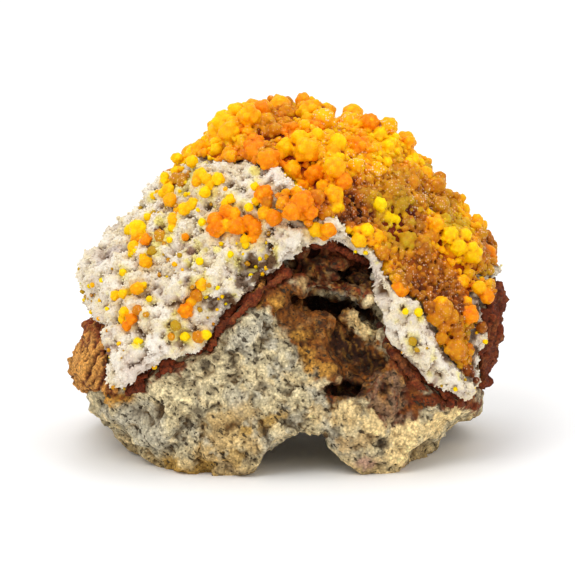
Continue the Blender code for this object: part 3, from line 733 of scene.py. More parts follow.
def shapeRock(mesh):
    flat = pointsOf(mesh)[:, 2] < rock["footHeight"]
    co = relaxed(mesh, pointsOf(mesh), rock["softening"])
    movePoints(mesh, co)
    tree = surfaceOf(mesh)
    ragged = np.clip(pushed(co, tree, rockRagged), 0, 1)
    soft = relaxed(mesh, normalsOf(mesh), 8)
    spacing, tipped, flatness = rock["faces"]
    lift = flatness * brokenFaces(co, soft, spacing, tipped, 21) * (1 - 0.6 * ragged)
    lift += rock["warp"][0] * noiseAt(co, rock["warp"][1], 1)
    lift += ragged * rock["ragged"][0] * 2 * noiseAt(co, rock["ragged"][1], 2)
    lift -= pushed(co, tree, rockDents) * (0.35 + 0.9 * noiseAt(co, 0.9, 6))
    for crack in rockCracks:
        lift -= rock["cracks"][0] * nearLine(co, crack, rock["cracks"][1])
    for ridge in rockRidges:
        lift += rock["ridges"][0] * nearLine(co, ridge, rock["ridges"][1])
    hidden = ease(*rock["seamReach"], distancesTo(seamSurface, co))
    lift = lift * (1 - hidden) - rock["seamShrink"] * hidden
    co = co + soft * lift[:, None]
    movePoints(mesh, co)
    normal = normalsOf(mesh)
    spacing, tipped, flatness = rock["chips"]
    lift = flatness * brokenFaces(co, relaxed(mesh, normal, 4), spacing, tipped, 22) * (1 - ragged)
    lift += rock["tooth"][0] * noiseAt(co, rock["tooth"][1], 3)
    lift += ragged * rock["gritty"][0] * cellsAt(co, rock["gritty"][1], 14)
    pits = ease(0.25, 0.6, cellsAt(slanted(co, 0.45), rock["pits"][1], 4) + 0.5 * noiseAt(co, 0.6, 13))
    pits *= ease(-0.15, 0.15, noiseAt(co, 2.6, 5)) * (1 - ragged)
    lift = (lift - rock["pits"][0] * pits) * (1 - hidden)
    co = co + normal * lift[:, None]
    co[:, 2] = np.where(flat, 0, np.maximum(co[:, 2], 0))
    movePoints(mesh, co)
    return co, tree, ragged, pits


def slanted(co, stretch):
    # places drawn out from upper left to lower right, as seen from the front
    across, up, depth = toView(co)
    diagonal = 0.71
    return np.stack([(across - up) * diagonal * stretch, depth, (across + up) * diagonal], 1)


def colourRock(mesh, co, tree, ragged, pits):
    broad = noiseAt(co, 3.4, 31)
    across, up, depth = toView(co)
    unseen = ease(-9, 4, depth)
    colour = np.tile(rock["grey"], (len(co), 1))
    colour = blended(colour, ease(-0.05, 0.3, broad + 0.5 * noiseAt(co, 1.0, 32)), rockTones["pale"])
    colour = blended(colour, ease(0.1, 0.35, -broad + 0.3 * noiseAt(co, 0.9, 33)) * 0.8, rockTones["cool"])
    colour = blended(colour, unseen * ease(0.1, 0.4, noiseAt(co, 5.0, 34)) * 0.9, rockTones["cream"])
    colour = blended(colour, unseen * ease(0.15, 0.4, noiseAt(co, 3.8, 35)) * 0.8, rockTones["amber"])
    colour = blended(colour, ease(4.0, 0.3, co[:, 2] + 2.5 * broad) * 0.6, rockTones["ochre"])
    streaks = noiseAt(slanted(co, 0.3), 1.1, 39) + 0.5 * noiseAt(slanted(co, 0.3), 0.5, 40)
    colour = blended(colour, ease(0.15, 0.5, streaks) * 0.65, rockTones["shadow"])
    colour = blended(colour, ease(0.1, 0.5, -streaks) * 0.5, rockTones["cream"])
    colour = blended(colour, pits * 0.85, rock["speck"])
    gap = distancesTo(seamSurface, co) + 0.9 * noiseAt(co, 0.8, 37)
    colour = blended(colour, ease(2.6, 1.0, gap) * ease(4, -4, across) * 0.5, rockTones["pale"])
    colour = painted(colour, co, tree, rockSpots, rockTones, 36)
    mottle = ease(0.0, 0.35, noiseAt(co, 1.3, 45) + 0.7 * noiseAt(co, 0.5, 46))
    for number, (tone, second, outline) in enumerate(rockPatches):
        inside = within(co, outline, 80 + number)
        colour = blended(colour, inside, rockTones[tone])
        colour = blended(colour, inside * mottle * 0.75, rockTones[second])
    colour = blended(colour, ragged * ease(0.0, 0.4, noiseAt(co, 0.8, 42)) * 0.5, rockTones["umber"])
    colour = blended(colour, ragged * ease(0.1, 0.4, noiseAt(co, 0.9, 43)) * 0.4, rockTones["tan"])
    marks = [spot for spot in rockSpots if spot[0] > -4 and spot[1] > 12]
    marks = [spot for spot in marks if spot[4] in ("gold", "cream", "tan", "umber")]
    colour = painted(colour, co, tree, marks, rockTones, 36)
    streak = noiseAt(co @ np.array(((1.9, 0, 0.5), (0, 1, 0), (0.5, 0, 0.45))), 0.9, 38)
    colour = blended(colour, ragged * ease(0.12, 0.4, streak) * 0.45, rockTones["gold"])
    colour = blended(colour, ease(0.75, 0.3, gap) * 0.9, rockTones["brick"])
    # painted shade: darker in the fine and wide creases and hollows of the rock
    fine = ease(0.03, 0.26, hollowness(mesh, co, 8))
    wide = ease(0.15, 0.9, hollowness(mesh, co, 45))
    colour = darkened(colour, np.clip(0.7 * fine + 0.55 * wide, 0, 1), rock["paintedCreviceShade"])
    # painted highlight: lighter on bumps and edges; the noise on top of it is random tone
    edge = ease(0.05, 0.3, -hollowness(mesh, co, 8))
    return colour * (1 + 0.2 * edge + 0.5 * noiseAt(co, 0.6, 44))[:, None]


def makeRock():
    stones = stonesFrom("rock_stones", rockStones)
    whole = joined("rock_body", [copyOfNode("host_rock", "rock_whole"), stones])
    piece = fused(whole, rock["cell"], rock["triangles"])
    co, tree, ragged, pits = shapeRock(piece.data)
    colour = colourRock(piece.data, co, tree, ragged, pits)
    keepTone(piece.data, colour)
    keepAttribute(piece.data, "speckled", rock["speckStrength"] * (1 - 0.7 * ease(0.55, 0.75, colour[:, 0])))
    material, _ = makeStoneMaterial("hostRock", rock)
    return finishPiece(piece, material, ["host_rock"])


# Iron oxide: brick red grains in the seam, brown and fibrous on the left lobe
oxide = {
    "cell": 0.33,
    "triangles": 80000,
    "softening": 3,
    "swelling": 0.4,                   # mm outwards, which closes the gaps that the solids keep
    "clumps": (0.42, 1.2),             # height and size, mm
    "grains": (0.24, 0.5),
    "ribs": (0.75, 0.55),              # of the fibres, which run up and down, leaning a little
    "ribLean": 0.28,
    "lobe": (-22.0, -24.5),            # where the left lobe begins and where it is complete, mm across
    "lobeTop": (17.5, 20.5),           # the same for its red top, mm up
    "rim": (26.5, 28.5),               # and for the rim at the right, mm across
    "clearance": 0.2,                  # mm that it stays above the ground
    "grainSize": 0.35,
    "speckSize": 0.8,
    "speckStretch": 1.4,
    "speckAmount": 0.35,
    "speckStrength": 0.7,
    "contrast": 0.6,
    "relief": 0.25,
    "specular": 0.2,
    "speck": (0.03, 0.009, 0.005),
    "brick": (0.19, 0.032, 0.008),
    # colour that the painted shade in the crevices multiplies by
    "paintedCreviceShade": (0.30, 0.16, 0.12),
}
oxideTones = {
    "brick": (0.24, 0.045, 0.012), "red": (0.22, 0.024, 0.006), "rust": (0.26, 0.085, 0.022),
    "orange": (0.80, 0.38, 0.085), "amber": (0.72, 0.30, 0.035), "brown": (0.56, 0.23, 0.070),
    "dark": (0.10, 0.022, 0.007), "sand": (0.50, 0.40, 0.22),
}
oxideSpots = [
    (-27.5, 19.2, 2.0, 0.9, "brown"), (-28.5, 15.4, 2.3, 1.0, "orange"), (-29.6, 12.8, 1.7, 0.9, "orange"),
    (-26.1, 13.5, 1.4, 0.6, "dark"), (-25.1, 11.1, 1.7, 1.0, "amber"), (-23.2, 10.4, 1.3, 1.0, "amber"),
    (-28.9, 20.7, 1.4, 0.8, "dark"), (-28.9, 10.3, 1.7, 0.9, "sand"), (-30.8, 12.1, 1.1, 0.8, "sand"),
    (-11.8, 17.5, 2.3, 0.8, "brick"), (-14.0, 16.4, 1.4, 0.6, "orange"), (-4.0, 26.1, 1.4, 0.8, "orange"),
    (-0.4, 29.2, 1.7, 0.8, "rust"), (6.7, 30.2, 1.7, 1.0, "red"), (6.0, 31.3, 1.1, 0.9, "orange"),
    (16.2, 15.4, 2.0, 0.8, "rust"), (18.8, 12.1, 1.7, 0.9, "brown"), (29.5, 18.5, 3.1, 0.7, "brown"),
    (29.5, 14.2, 2.0, 0.8, "orange"), (25.2, 8.8, 1.4, 0.9, "orange"), (21.7, 10.0, 1.3, 0.8, "orange"),
    (-18.2, 14.7, 1.1, 0.6, "brick"), (-20.4, 13.1, 0.9, 0.7, "red"), (29.9, 24.2, 1.4, 0.7, "dark"),
]


def makeOxide():
    piece = fused(copyOfNode("iron_oxide_seam", "oxide_seam_body"), oxide["cell"], oxide["triangles"])
    mesh = piece.data
    co = relaxed(mesh, pointsOf(mesh), oxide["softening"])
    movePoints(mesh, co)
    tree = surfaceOf(mesh)
    across, up, depth = toView(co)
    lobe = ease(*oxide["lobe"], across)
    ribbed = np.maximum(lobe, ease(*oxide["rim"], across))
    leaning = co - co[:, [2]] * np.array((oxide["ribLean"], 0, 0))
    fibres = noiseAt(leaning * np.array((1.0, 1.0, 0.13)), oxide["ribs"][1], 16)
    lift = oxide["swelling"] * (1 - 0.5 * ribbed) + oxide["clumps"][0] * cellsAt(co, oxide["clumps"][1], 6)
    lift += oxide["grains"][0] * cellsAt(co, oxide["grains"][1], 7) + ribbed * oxide["ribs"][0] * fibres
    co = co + normalsOf(mesh) * lift[:, None]
    co[:, 2] = np.maximum(co[:, 2], oxide["clearance"])
    movePoints(mesh, co)
    mood = noiseAt(co, 1.6, 41) + 0.9 * noiseAt(co, 0.55, 42)
    colour = np.tile(oxide["brick"], (len(co), 1))
    colour = painted(colour, co, tree, oxideSpots, oxideTones, 43)
    colour = blended(colour, ease(0.15, 0.5, mood) * 0.6, oxideTones["rust"])
    colour = blended(colour, ease(0.1, 0.4, -mood) * 0.8, oxideTones["dark"])
    colour = blended(colour, lobe * ease(-0.15, 0.25, fibres) * 0.8, oxideTones["orange"])
    colour = blended(colour, ribbed * ease(0.05, 0.35, -fibres) * 0.75, oxideTones["dark"])
    reddened = lobe * ease(*oxide["lobeTop"], up + 2.0 * mood)
    colour = blended(colour, reddened * 0.7, oxideTones["red"])
    # painted shade: darker in the crevices
    colour = darkened(colour, ease(0.02, 0.25, hollowness(mesh, co, 8)) * 0.8, oxide["paintedCreviceShade"])
    keepTone(mesh, colour)
    keepAttribute(mesh, "speckled", np.full(len(co), oxide["speckStrength"]))
    material, _ = makeStoneMaterial("ironOxide", oxide)
    return finishPiece(piece, material, ["iron_oxide_seam"])


# White crust: pinkish white to cream, crumbly, with painted lilac shadows and painted brown shade in its
# hollows
crust = {
    "cell": 0.35,
    "triangles": 155000,
    "softening": 3,
    "swelling": 0.2,
    "seamShrink": 0.35,                # mm that it draws back where it meets the seam
    "seamReach": (0.25, 2.2),          # how near the seam that begins and ends
    "coverShrink": 0.3,                # and under the mimetite
    "coverReach": (0.1, 0.8),
    "lumps": (1.0, 3.2),               # height and size, mm
    "knobs": (0.6, 1.4),
    "grains": (0.16, 0.6),
    "hollows": (1.0, 1.9),
    "grainSize": 0.3,
    "speckSize": 0.9,
    "speckStretch": 1.3,
    "speckAmount": 0.16,
    "speckStrength": 0.5,
    "contrast": 0.14,
    "relief": 0.2,
    "specular": 0.2,
    "speck": (0.24, 0.15, 0.08),
    "cream": (0.83, 0.72, 0.50),
    # colours that the painted shade in shallow and deeper hollows multiplies by
    "shade": (0.70, 0.60, 0.53),
    "paintedCreviceShade": (0.20, 0.12, 0.06),
    "grainCount": 10000,
    "grainRadius": (0.12, 0.3),        # mm
    "grainSpacing": 0.44,
    "grainGaps": (0.6, 0.55),          # mm of room between the grains and the mimetite, and the seam
    "fringe": [(6.7, 32.8), (8.8, 31.3), (11.0, 29.6), (12.8, 27.1), (14.0, 24.2), (14.8, 21.4)],
    "fringeWidth": 0.9,                # mm on each side of that line
    "fringeLength": 0.75,
    "fringeThinness": 0.7,             # how thick a spike is, as a share of a plain grain
    "subsurface": 0.12,
    "scatter": (1.0, 0.8, 0.65),       # how far red, green and blue light spread, as shares of the glow
    "glow": 0.4,                       # mm
}
crustTones = {
    "white": (0.90, 0.83, 0.73), "rosy": (0.74, 0.62, 0.53), "lilac": (0.66, 0.57, 0.53),
    "lemon": (0.86, 0.74, 0.14), "cream": (0.84, 0.66, 0.36), "honey": (0.80, 0.54, 0.16),
    "brown": (0.13, 0.065, 0.028), "maroon": (0.17, 0.032, 0.010),
}
# spots of (across, up, radius, strength, tone); the brown spots at the cavities are painted shade
crustSpots = [
    (-21.1, 14.2, 3.1, 0.8, "rosy"), (-23.2, 12.1, 2.0, 0.7, "white"), (-19.0, 17.1, 2.3, 0.8, "white"),
    (-5.4, 37.8, 2.6, 0.8, "white"), (-1.9, 40.6, 2.3, 0.8, "white"), (-25.4, 30.6, 2.0, 0.7, "lilac"),
    (-6.1, 39.9, 1.7, 0.6, "white"), (-21.5, 18.2, 1.0, 1.0, "lemon"), (-14.4, 19.1, 0.9, 1.0, "lemon"),
    (-23.9, 21.7, 1.0, 0.8, "lemon"), (-18.2, 35.3, 1.0, 0.8, "lemon"), (-4.7, 42.5, 0.9, 0.8, "lemon"),
    (-6.8, 29.6, 1.1, 0.8, "lemon"), (-12.5, 32.1, 0.9, 0.6, "lemon"), (-3.7, 31.3, 1.0, 0.7, "lemon"),
    (-5.4, 28.8, 2.0, 1.0, "brown"), (-2.8, 29.4, 1.7, 1.0, "brown"), (-1.1, 28.2, 1.7, 1.0, "brown"),
    (-3.7, 27.1, 1.7, 1.0, "brown"), (-6.3, 26.6, 1.4, 0.9, "brown"), (-8.5, 24.2, 1.3, 1.0, "brown"),
    (-10.5, 23.8, 1.0, 1.0, "brown"), (0.3, 29.6, 1.3, 0.9, "brown"), (-14.7, 39.9, 1.0, 1.0, "brown"),
    (-18.2, 34.2, 0.9, 1.0, "maroon"), (-25.8, 30.9, 0.7, 1.0, "brown"), (-14.0, 31.1, 1.0, 0.8, "maroon"),
    (-19.9, 25.2, 0.7, 1.0, "brown"), (-19.0, 25.9, 0.7, 1.0, "brown"), (-14.2, 41.3, 1.0, 0.9, "brown"),
    (-9.0, 44.2, 1.3, 0.5, "lilac"), (-27.1, 19.2, 1.3, 0.9, "maroon"), (-25.1, 17.1, 1.1, 0.8, "maroon"),
    (-14.0, 26.8, 1.0, 0.6, "maroon"), (-13.0, 29.9, 0.9, 0.6, "lemon"), (8.8, 32.1, 1.3, 0.6, "cream"),
    (18.8, 10.0, 1.4, 1.0, "maroon"), (19.9, 12.8, 1.3, 0.9, "maroon"), (17.7, 11.7, 1.3, 1.0, "maroon"),
    (22.4, 15.4, 1.0, 0.7, "lilac"), (20.2, 19.9, 1.1, 0.5, "lilac"), (23.8, 24.9, 1.1, 0.8, "lilac"),
    (24.8, 27.8, 1.3, 0.5, "cream"),
]
crustCavities = [
    (-14.7, 39.9, 1.0, 1.2), (-18.2, 34.2, 0.7, 1.0), (-25.8, 30.9, 0.7, 1.0), (-10.5, 23.8, 1.0, 1.4),
    (-8.5, 24.2, 0.9, 1.2), (-19.9, 25.2, 0.6, 0.9), (-19.0, 26.1, 0.6, 0.9), (-5.4, 28.8, 0.9, 0.8),
    (-2.3, 29.1, 0.9, 0.8), (-3.7, 27.4, 0.9, 0.8), (-14.0, 27.1, 0.6, 0.7), (-10.7, 32.1, 0.6, 0.7),
    (-6.8, 36.3, 0.6, 0.6), (-16.8, 27.8, 0.6, 0.6), (-22.5, 28.5, 0.6, 0.6),
]
crustSwells = [
    (-21.3, 14.2, 2.8, 0.7), (-23.4, 12.4, 1.8, 0.5), (-4.0, 39.0, 2.2, 0.6), (-1.0, 40.6, 1.8, 0.5),
]


def colourCrust(mesh, co, tree, hollow):
    broad = noiseAt(co, 3.2, 51) + 0.5 * noiseAt(co, 1.0, 52)
    colour = np.tile(crust["cream"], (len(co), 1))
    colour = blended(colour, ease(-0.15, 0.25, broad) * 0.75, crustTones["white"])
    colour = blended(colour, ease(0.12, 0.4, -broad) * 0.6, crustTones["lilac"])
    lemon = ease(0.3, 0.5, noiseAt(co, 1.3, 53)) * ease(-0.1, 0.25, noiseAt(co, 6.0, 54))
    colour = blended(colour, lemon * 0.8, crustTones["lemon"])
    colour = painted(colour, co, tree, crustSpots, crustTones, 55)
    stains = [(across, up, 1.7 * radius, 0.5, "honey") for globules in growthGlobules.values()
              for across, up, radius, _ in globules]
    stains += [(across, up, 2.0 * radius, 0.5, "lemon") for across, up, radius, _ in looseGlobules]
    colour = painted(colour, co, tree, stains, crustTones, 58)
    # painted shade: dark brown on the crust next to and under the mimetite, in the gaps between the globules
    under = distancesTo(coverSurface, co) + 0.8 * noiseAt(co, 0.9, 57)
    colour = blended(colour, ease(0.9, 0.3, under) * 0.9, crustTones["brown"])
    gap = distancesTo(seamSurface, co) + 0.9 * noiseAt(co, 1.0, 56)
    colour = blended(colour, ease(0.9, 0.1, gap) * 0.7, crustTones["maroon"])
    # painted shade: lilac-grey in shallow hollows and brown in deeper ones
    colour = darkened(colour, ease(0.0, 0.16, hollow), crust["shade"])
    return darkened(colour, ease(0.12, 0.34, hollow), crust["paintedCreviceShade"])


def makeCrust():
    piece = fused(copyOfNode("white_crust", "crust_body"), crust["cell"], crust["triangles"])
    mesh = piece.data
    co = relaxed(mesh, pointsOf(mesh), crust["softening"])
    movePoints(mesh, co)
    tree = surfaceOf(mesh)
    away = ease(*crust["seamReach"], distancesTo(seamSurface, co))
    lift = crust["swelling"] + crust["lumps"][0] * (cellsAt(co, crust["lumps"][1], 8) - 0.2)
    lift += crust["knobs"][0] * cellsAt(co, crust["knobs"][1], 9)
    lift += crust["grains"][0] * cellsAt(co, crust["grains"][1], 10)
    lift -= crust["hollows"][0] * ease(0.2, 0.5, noiseAt(co, crust["hollows"][1], 11))
    lift += pushed(co, tree, crustSwells) - pushed(co, tree, crustCavities)
    lift = lift * (0.25 + 0.75 * away) - crust["seamShrink"] * (1 - away)
    bare = ease(*crust["coverReach"], distancesTo(coverSurface, co))
    lift = lift * bare - crust["coverShrink"] * (1 - bare)
    co = co + normalsOf(mesh) * lift[:, None]
    movePoints(mesh, co)
    hollow = np.maximum(hollowness(mesh, co, 7) * 1.3, hollowness(mesh, co, 30) * 0.5)
    keepTone(mesh, colourCrust(mesh, co, tree, hollow))
    keepAttribute(mesh, "speckled", np.full(len(co), crust["speckStrength"]))
    made = tree, surfaceOf(mesh), co, normalsOf(mesh)
    finishPiece(piece, crustMaterial, ["white_crust"])
    return made


def makeCrustGrains(tree, co, normal):
    # angular grains over the crust that shows, drawn out into spikes along the edge of the roof
    chance = np.random.default_rng(4)
    coverGap, seamGap = crust["grainGaps"]
    bare = (distancesTo(coverSurface, co) > coverGap) & (distancesTo(seamSurface, co) > seamGap)
    pool = np.flatnonzero(bare & (outwardness(co, normal) > 0))
    chosen = drawn(chance, pool, co, np.full(len(co), crust["grainSpacing"]))[: crust["grainCount"]]
    count = len(chosen)
    sizes = chance.uniform(*crust["grainRadius"], (count, 1)) * chance.uniform(0.7, 1.35, (count, 3))
    fringe = nearLine(co[chosen], crust["fringe"], crust["fringeWidth"]) * chance.uniform(0, 1, count) > 0.3
    sizes[fringe, 2] = chance.uniform(0.5, 1.0, fringe.sum()) * crust["fringeLength"]
    sizes[fringe, :2] *= crust["fringeThinness"]
    lean = normal[chosen] + chance.normal(0, 0.35, (count, 3)) - np.array((0, 0, 0.8)) * fringe[:, None]
    turns = [Vector(way).to_track_quat("Z", "Y").to_matrix() for way in lean.tolist()]
    centres = co[chosen] + normal[chosen] * sizes[:, :1] * chance.uniform(-0.2, 0.35, (count, 1))
    piece = manyOf("crust_grains", unitGrain(), centres, sizes, 0.25, turns)
    shade = -0.05 + chance.uniform(0, 0.08, count)
    places = pointsOf(piece.data)
    keepTone(piece.data, colourCrust(piece.data, places, tree, np.repeat(shade, len(unitGrain()[0]))))
    finishPiece(piece, crustMaterial, [])
    piece.data.shade_flat()
    return piece


# Mimetite: waxy knobbly globules in every shade from lemon to amber, on a bed of the same
mimetite = {
    "bedCell": 0.42,
    "bedTriangles": 22000,
    "bedSoftening": 14,
    "bedSinking": 0.45,                # mm that the bed lies below the outline of the solid
    "cells": {"back": 0.29, "left": 0.18, "right": 0.18},
    "triangles": {"back": 80000, "left": 110000, "right": 170000},
    "backFrom": 5,                     # mm behind the middle of the rock where the back piece begins
    "rightFrom": 3,                    # mm across where the right piece begins
    "beadCell": 0.15,
    "beadTriangles": 14000,
    # least radius, most radius and spacing of the random globules, mm, as (size, less on the slope)
    "medium": [(0.75, 0.25), (1.35, 0.45), (2.5, 0.4)],
    # and as (size, less on the slope, more at the back)
    "small": [(0.36, 0.06, 0.14), (0.72, 0.12, 0.3), (0.98, 0.2, 0.45)],
    "seat": 0.3,                       # how far a globule's middle stands off its bed, in radii
    "crestSpread": 4.5,                # how far globules on the skyline are spread to front and back, mm
    "core": 0.92,                      # radius of a globule under its knobs, as a share of its own
    "knobRadius": (0.26, 0.75),        # mm, least and most
    "knobShare": (0.32, 0.52),         # of the globule's radius
    "knobStand": (0.6, 0.95),          # how deep the knobs sit, in their own radii
    "fine": (0.045, 0.42),             # height and size of the finest knobs, mm
    "ramp": [
        (0.0, (0.98, 0.68, 0.0)), (0.25, (0.98, 0.50, 0.0)), (0.5, (0.94, 0.31, 0.0)),
        (0.75, (0.78, 0.16, 0.0)), (1.0, (0.40, 0.07, 0.0)),
    ],
    "dullRamp": [
        (0.0, (0.46, 0.28, 0.012)), (0.35, (0.47, 0.20, 0.010)), (0.6, (0.34, 0.105, 0.007)),
        (0.8, (0.15, 0.034, 0.004)), (1.0, (0.035, 0.009, 0.004)),
    ],
    # the colour that the painted crease shade multiplies by, and the colour of the painted glints
    "paintedCreaseShade": (0.30, 0.085, 0.04),
    "paintedGlint": (0.95, 0.70, 0.48),
    "specular": 0.12,
    "subsurface": 0.35,
    "scatter": (1.0, 0.45, 0.08),
    "glow": 0.5,                       # mm that light spreads inside
}

# How orange, how brown and how strongly painted glints show on a globule
shades = {
    "lemon": (0.05, 0.0, 0.0),
    "yellow": (0.22, 0.0, 0.0),
    "gold": (0.38, 0.05, 0.05),
    "orange": (0.62, 0.0, 0.05),
    "amber": (0.52, 0.6, 0.2),
    "peach": (0.32, 0.12, 1.0),
    "honey": (0.42, 0.8, 0.5),
    "rose": (0.45, 0.75, 1.0),
    "olive": (0.16, 0.95, 0.15),
    "moss": (0.20, 0.85, 0.0),
    "brown": (0.68, 0.9, 0.45),
    "umber": (0.90, 1.0, 0.4),
}

# Globules of the cover, as (across, up, radius, shade)
coverGlobules = [
    (-7.5, 52.2, 0.8, "lemon"), (-9.3, 49.4, 1.6, "yellow"), (-10.1, 48.0, 1.5, "yellow"),
    (-5.5, 50.3, 1.6, "gold"), (-3.9, 51.3, 1.4, "orange"), (-1.1, 51.7, 1.8, "gold"),
    (-7.4, 51.0, 1.3, "yellow"), (-8.5, 48.0, 1.5, "gold"), (-1.8, 48.4, 1.0, "amber"),
    (-4.7, 46.5, 1.3, "orange"), (-4.7, 45.2, 1.7, "orange"), (-2.8, 44.0, 1.5, "orange"),
    (-0.5, 45.7, 1.3, "yellow"), (-10.1, 45.5, 1.0, "yellow"), (-11.6, 46.9, 1.0, "yellow"),
    (-12.4, 45.7, 1.3, "gold"), (-14.1, 45.5, 1.4, "gold"), (-15.8, 44.4, 0.9, "yellow"),
    (-13.6, 43.8, 0.9, "yellow"), (3.1, 51.0, 1.8, "gold"), (5.1, 49.9, 1.7, "peach"),
    (4.0, 48.6, 1.3, "orange"), (9.4, 50.9, 1.5, "gold"), (8.9, 49.3, 1.7, "peach"),
    (13.1, 47.8, 1.1, "yellow"), (14.3, 46.1, 0.9, "yellow"), (11.7, 49.4, 1.3, "orange"),
    (14.3, 49.0, 1.3, "peach"), (16.9, 46.9, 1.3, "gold"), (1.6, 47.1, 1.3, "yellow"),
    (4.2, 47.6, 1.0, "yellow"), (7.1, 46.5, 1.3, "yellow"), (2.7, 45.4, 1.8, "gold"),
    (-0.3, 45.6, 1.2, "yellow"), (6.4, 45.4, 1.1, "gold"), (6.6, 42.9, 1.7, "gold"),
    (6.9, 44.1, 1.1, "yellow"), (0.6, 42.6, 1.3, "gold"), (3.8, 42.2, 1.3, "orange"),
    (5.1, 40.1, 1.2, "gold"), (6.4, 39.0, 1.5, "gold"), (6.8, 37.5, 1.0, "yellow"),
    (7.9, 40.9, 1.3, "orange"), (10.0, 45.9, 1.5, "orange"), (9.6, 43.3, 1.1, "peach"),
    (12.6, 42.6, 1.2, "peach"), (12.9, 44.1, 0.6, "yellow"), (14.1, 43.7, 0.7, "yellow"),
    (17.1, 43.9, 0.6, "yellow"), (17.9, 44.1, 0.9, "yellow"), (18.8, 43.7, 0.7, "yellow"),
    (20.5, 43.4, 0.7, "olive"), (19.6, 42.2, 1.1, "gold"), (21.6, 41.6, 1.1, "amber"),
    (17.7, 40.9, 1.1, "amber"), (21.4, 40.5, 1.1, "amber"), (16.0, 40.9, 0.7, "honey"),
    (14.7, 40.1, 1.3, "honey"), (13.0, 37.7, 1.0, "lemon"), (16.0, 37.7, 1.0, "olive"),
    (13.9, 36.2, 0.7, "lemon"), (14.7, 35.8, 0.7, "lemon"), (15.4, 35.6, 0.6, "lemon"),
    (12.6, 39.0, 0.6, "olive"), (17.5, 35.1, 0.6, "olive"), (19.8, 36.6, 0.6, "yellow"),
    (21.8, 37.7, 1.3, "honey"), (25.2, 37.2, 1.1, "gold"), (26.7, 36.2, 0.7, "gold"),
    (2.1, 38.1, 1.6, "orange"), (0.6, 36.6, 1.3, "orange"), (1.2, 39.4, 0.9, "gold"),
    (3.1, 36.6, 1.1, "orange"), (5.3, 36.6, 1.3, "amber"), (5.7, 34.1, 1.1, "orange"),
    (8.5, 34.1, 0.6, "yellow"), (9.8, 34.1, 0.6, "gold"), (11.1, 34.1, 1.0, "yellow"),
    (12.6, 33.2, 1.0, "gold"), (10.0, 32.6, 1.1, "gold"), (11.7, 31.7, 1.3, "gold"),
    (13.2, 30.9, 1.1, "amber"), (13.9, 29.1, 0.9, "gold"), (13.6, 28.1, 0.7, "gold"),
    (20.9, 34.9, 1.2, "gold"), (22.9, 33.4, 1.3, "yellow"), (25.0, 33.4, 1.1, "yellow"),
    (20.3, 33.2, 1.1, "amber"), (24.1, 31.7, 1.3, "yellow"), (25.9, 30.9, 1.6, "yellow"),
    (28.9, 33.6, 0.9, "honey"), (28.7, 31.1, 1.0, "orange"), (24.6, 26.8, 1.0, "gold"),
    (16.9, 32.6, 1.3, "moss"), (15.6, 25.6, 1.4, "orange"), (25.7, 22.1, 1.3, "orange"),
    (28.1, 24.7, 1.1, "orange"), (23.7, 17.3, 1.5, "amber"), (21.8, 23.0, 1.5, "amber"),
    (20.9, 21.9, 1.3, "amber"), (23.1, 21.9, 1.1, "amber"), (27.0, 26.0, 1.1, "gold"),
    (25.3, 24.0, 0.8, "gold"), (28.4, 21.9, 0.9, "brown"), (22.0, 20.6, 1.0, "amber"),
    (21.6, 18.8, 1.0, "amber"), (21.6, 23.8, 1.1, "gold"), (20.0, 23.2, 1.0, "brown"),
    (27.2, 12.9, 0.8, "yellow"),
]

# The shade of the smaller globules between them, around (across, up), out to a radius
coverZones = [
    (-10.4, 48.7, 2.3, "yellow"), (-5.4, 52.0, 2.3, "gold"), (-1.4, 51.3, 1.7, "amber"),
    (-4.7, 45.6, 2.0, "honey"), (-2.6, 47.0, 1.4, "amber"), (-6.8, 47.0, 1.7, "gold"),
    (0.3, 47.0, 1.4, "orange"), (4.3, 50.6, 2.0, "gold"), (6.0, 48.4, 1.7, "peach"),
    (7.4, 44.2, 2.0, "peach"), (10.3, 49.9, 2.0, "gold"), (9.5, 46.3, 2.0, "gold"),
    (8.8, 43.5, 2.0, "peach"), (15.2, 47.7, 2.0, "gold"), (13.1, 47.7, 1.3, "yellow"),
    (18.1, 44.2, 1.7, "gold"), (16.0, 42.5, 1.7, "honey"), (13.8, 39.9, 1.7, "honey"),
    (20.2, 41.3, 1.7, "honey"), (20.2, 38.5, 1.7, "rose"), (18.5, 39.2, 1.4, "rose"),
    (9.1, 39.6, 1.7, "brown"), (8.1, 36.8, 1.7, "umber"), (10.3, 34.9, 1.7, "umber"),
    (12.4, 37.8, 1.3, "olive"), (13.8, 35.9, 1.3, "olive"), (16.2, 37.8, 1.4, "olive"),
    (17.7, 34.9, 1.3, "umber"), (22.4, 37.8, 1.4, "honey"), (23.8, 34.9, 1.4, "olive"),
    (25.2, 37.0, 1.3, "gold"), (27.4, 35.3, 1.3, "gold"), (28.8, 32.8, 1.3, "brown"),
    (21.7, 33.5, 1.4, "gold"), (23.8, 31.3, 1.7, "gold"), (16.7, 32.8, 1.7, "moss"),
    (18.1, 29.9, 2.0, "brown"), (20.2, 27.1, 2.0, "brown"), (17.4, 26.4, 1.7, "brown"),
    (15.2, 29.6, 1.7, "honey"), (22.4, 25.6, 1.7, "brown"), (11.0, 32.1, 1.7, "gold"),
    (13.1, 29.6, 1.3, "gold"), (23.1, 24.2, 1.7, "umber"), (20.2, 23.5, 1.6, "brown"),
    (21.7, 21.4, 1.7, "amber"), (20.9, 18.5, 1.4, "amber"), (24.5, 19.9, 1.4, "honey"),
    (28.1, 17.8, 1.4, "umber"), (28.1, 20.7, 1.3, "umber"), (28.8, 24.2, 1.3, "brown"),
    (27.1, 24.2, 1.3, "honey"), (23.8, 16.4, 1.4, "amber"), (26.6, 13.5, 1.3, "umber"),
    (3.1, 44.2, 2.0, "gold"), (0.3, 42.0, 1.7, "orange"), (6.0, 41.3, 1.7, "gold"),
    (3.1, 38.5, 1.7, "orange"), (5.3, 38.5, 1.4, "brown"), (6.7, 36.3, 1.4, "umber"),
    (-6.8, 43.5, 1.7, "orange"), (-4.0, 42.7, 1.7, "orange"), (-11.8, 43.5, 1.7, "gold"),
    (-14.0, 43.5, 1.4, "yellow"),
]

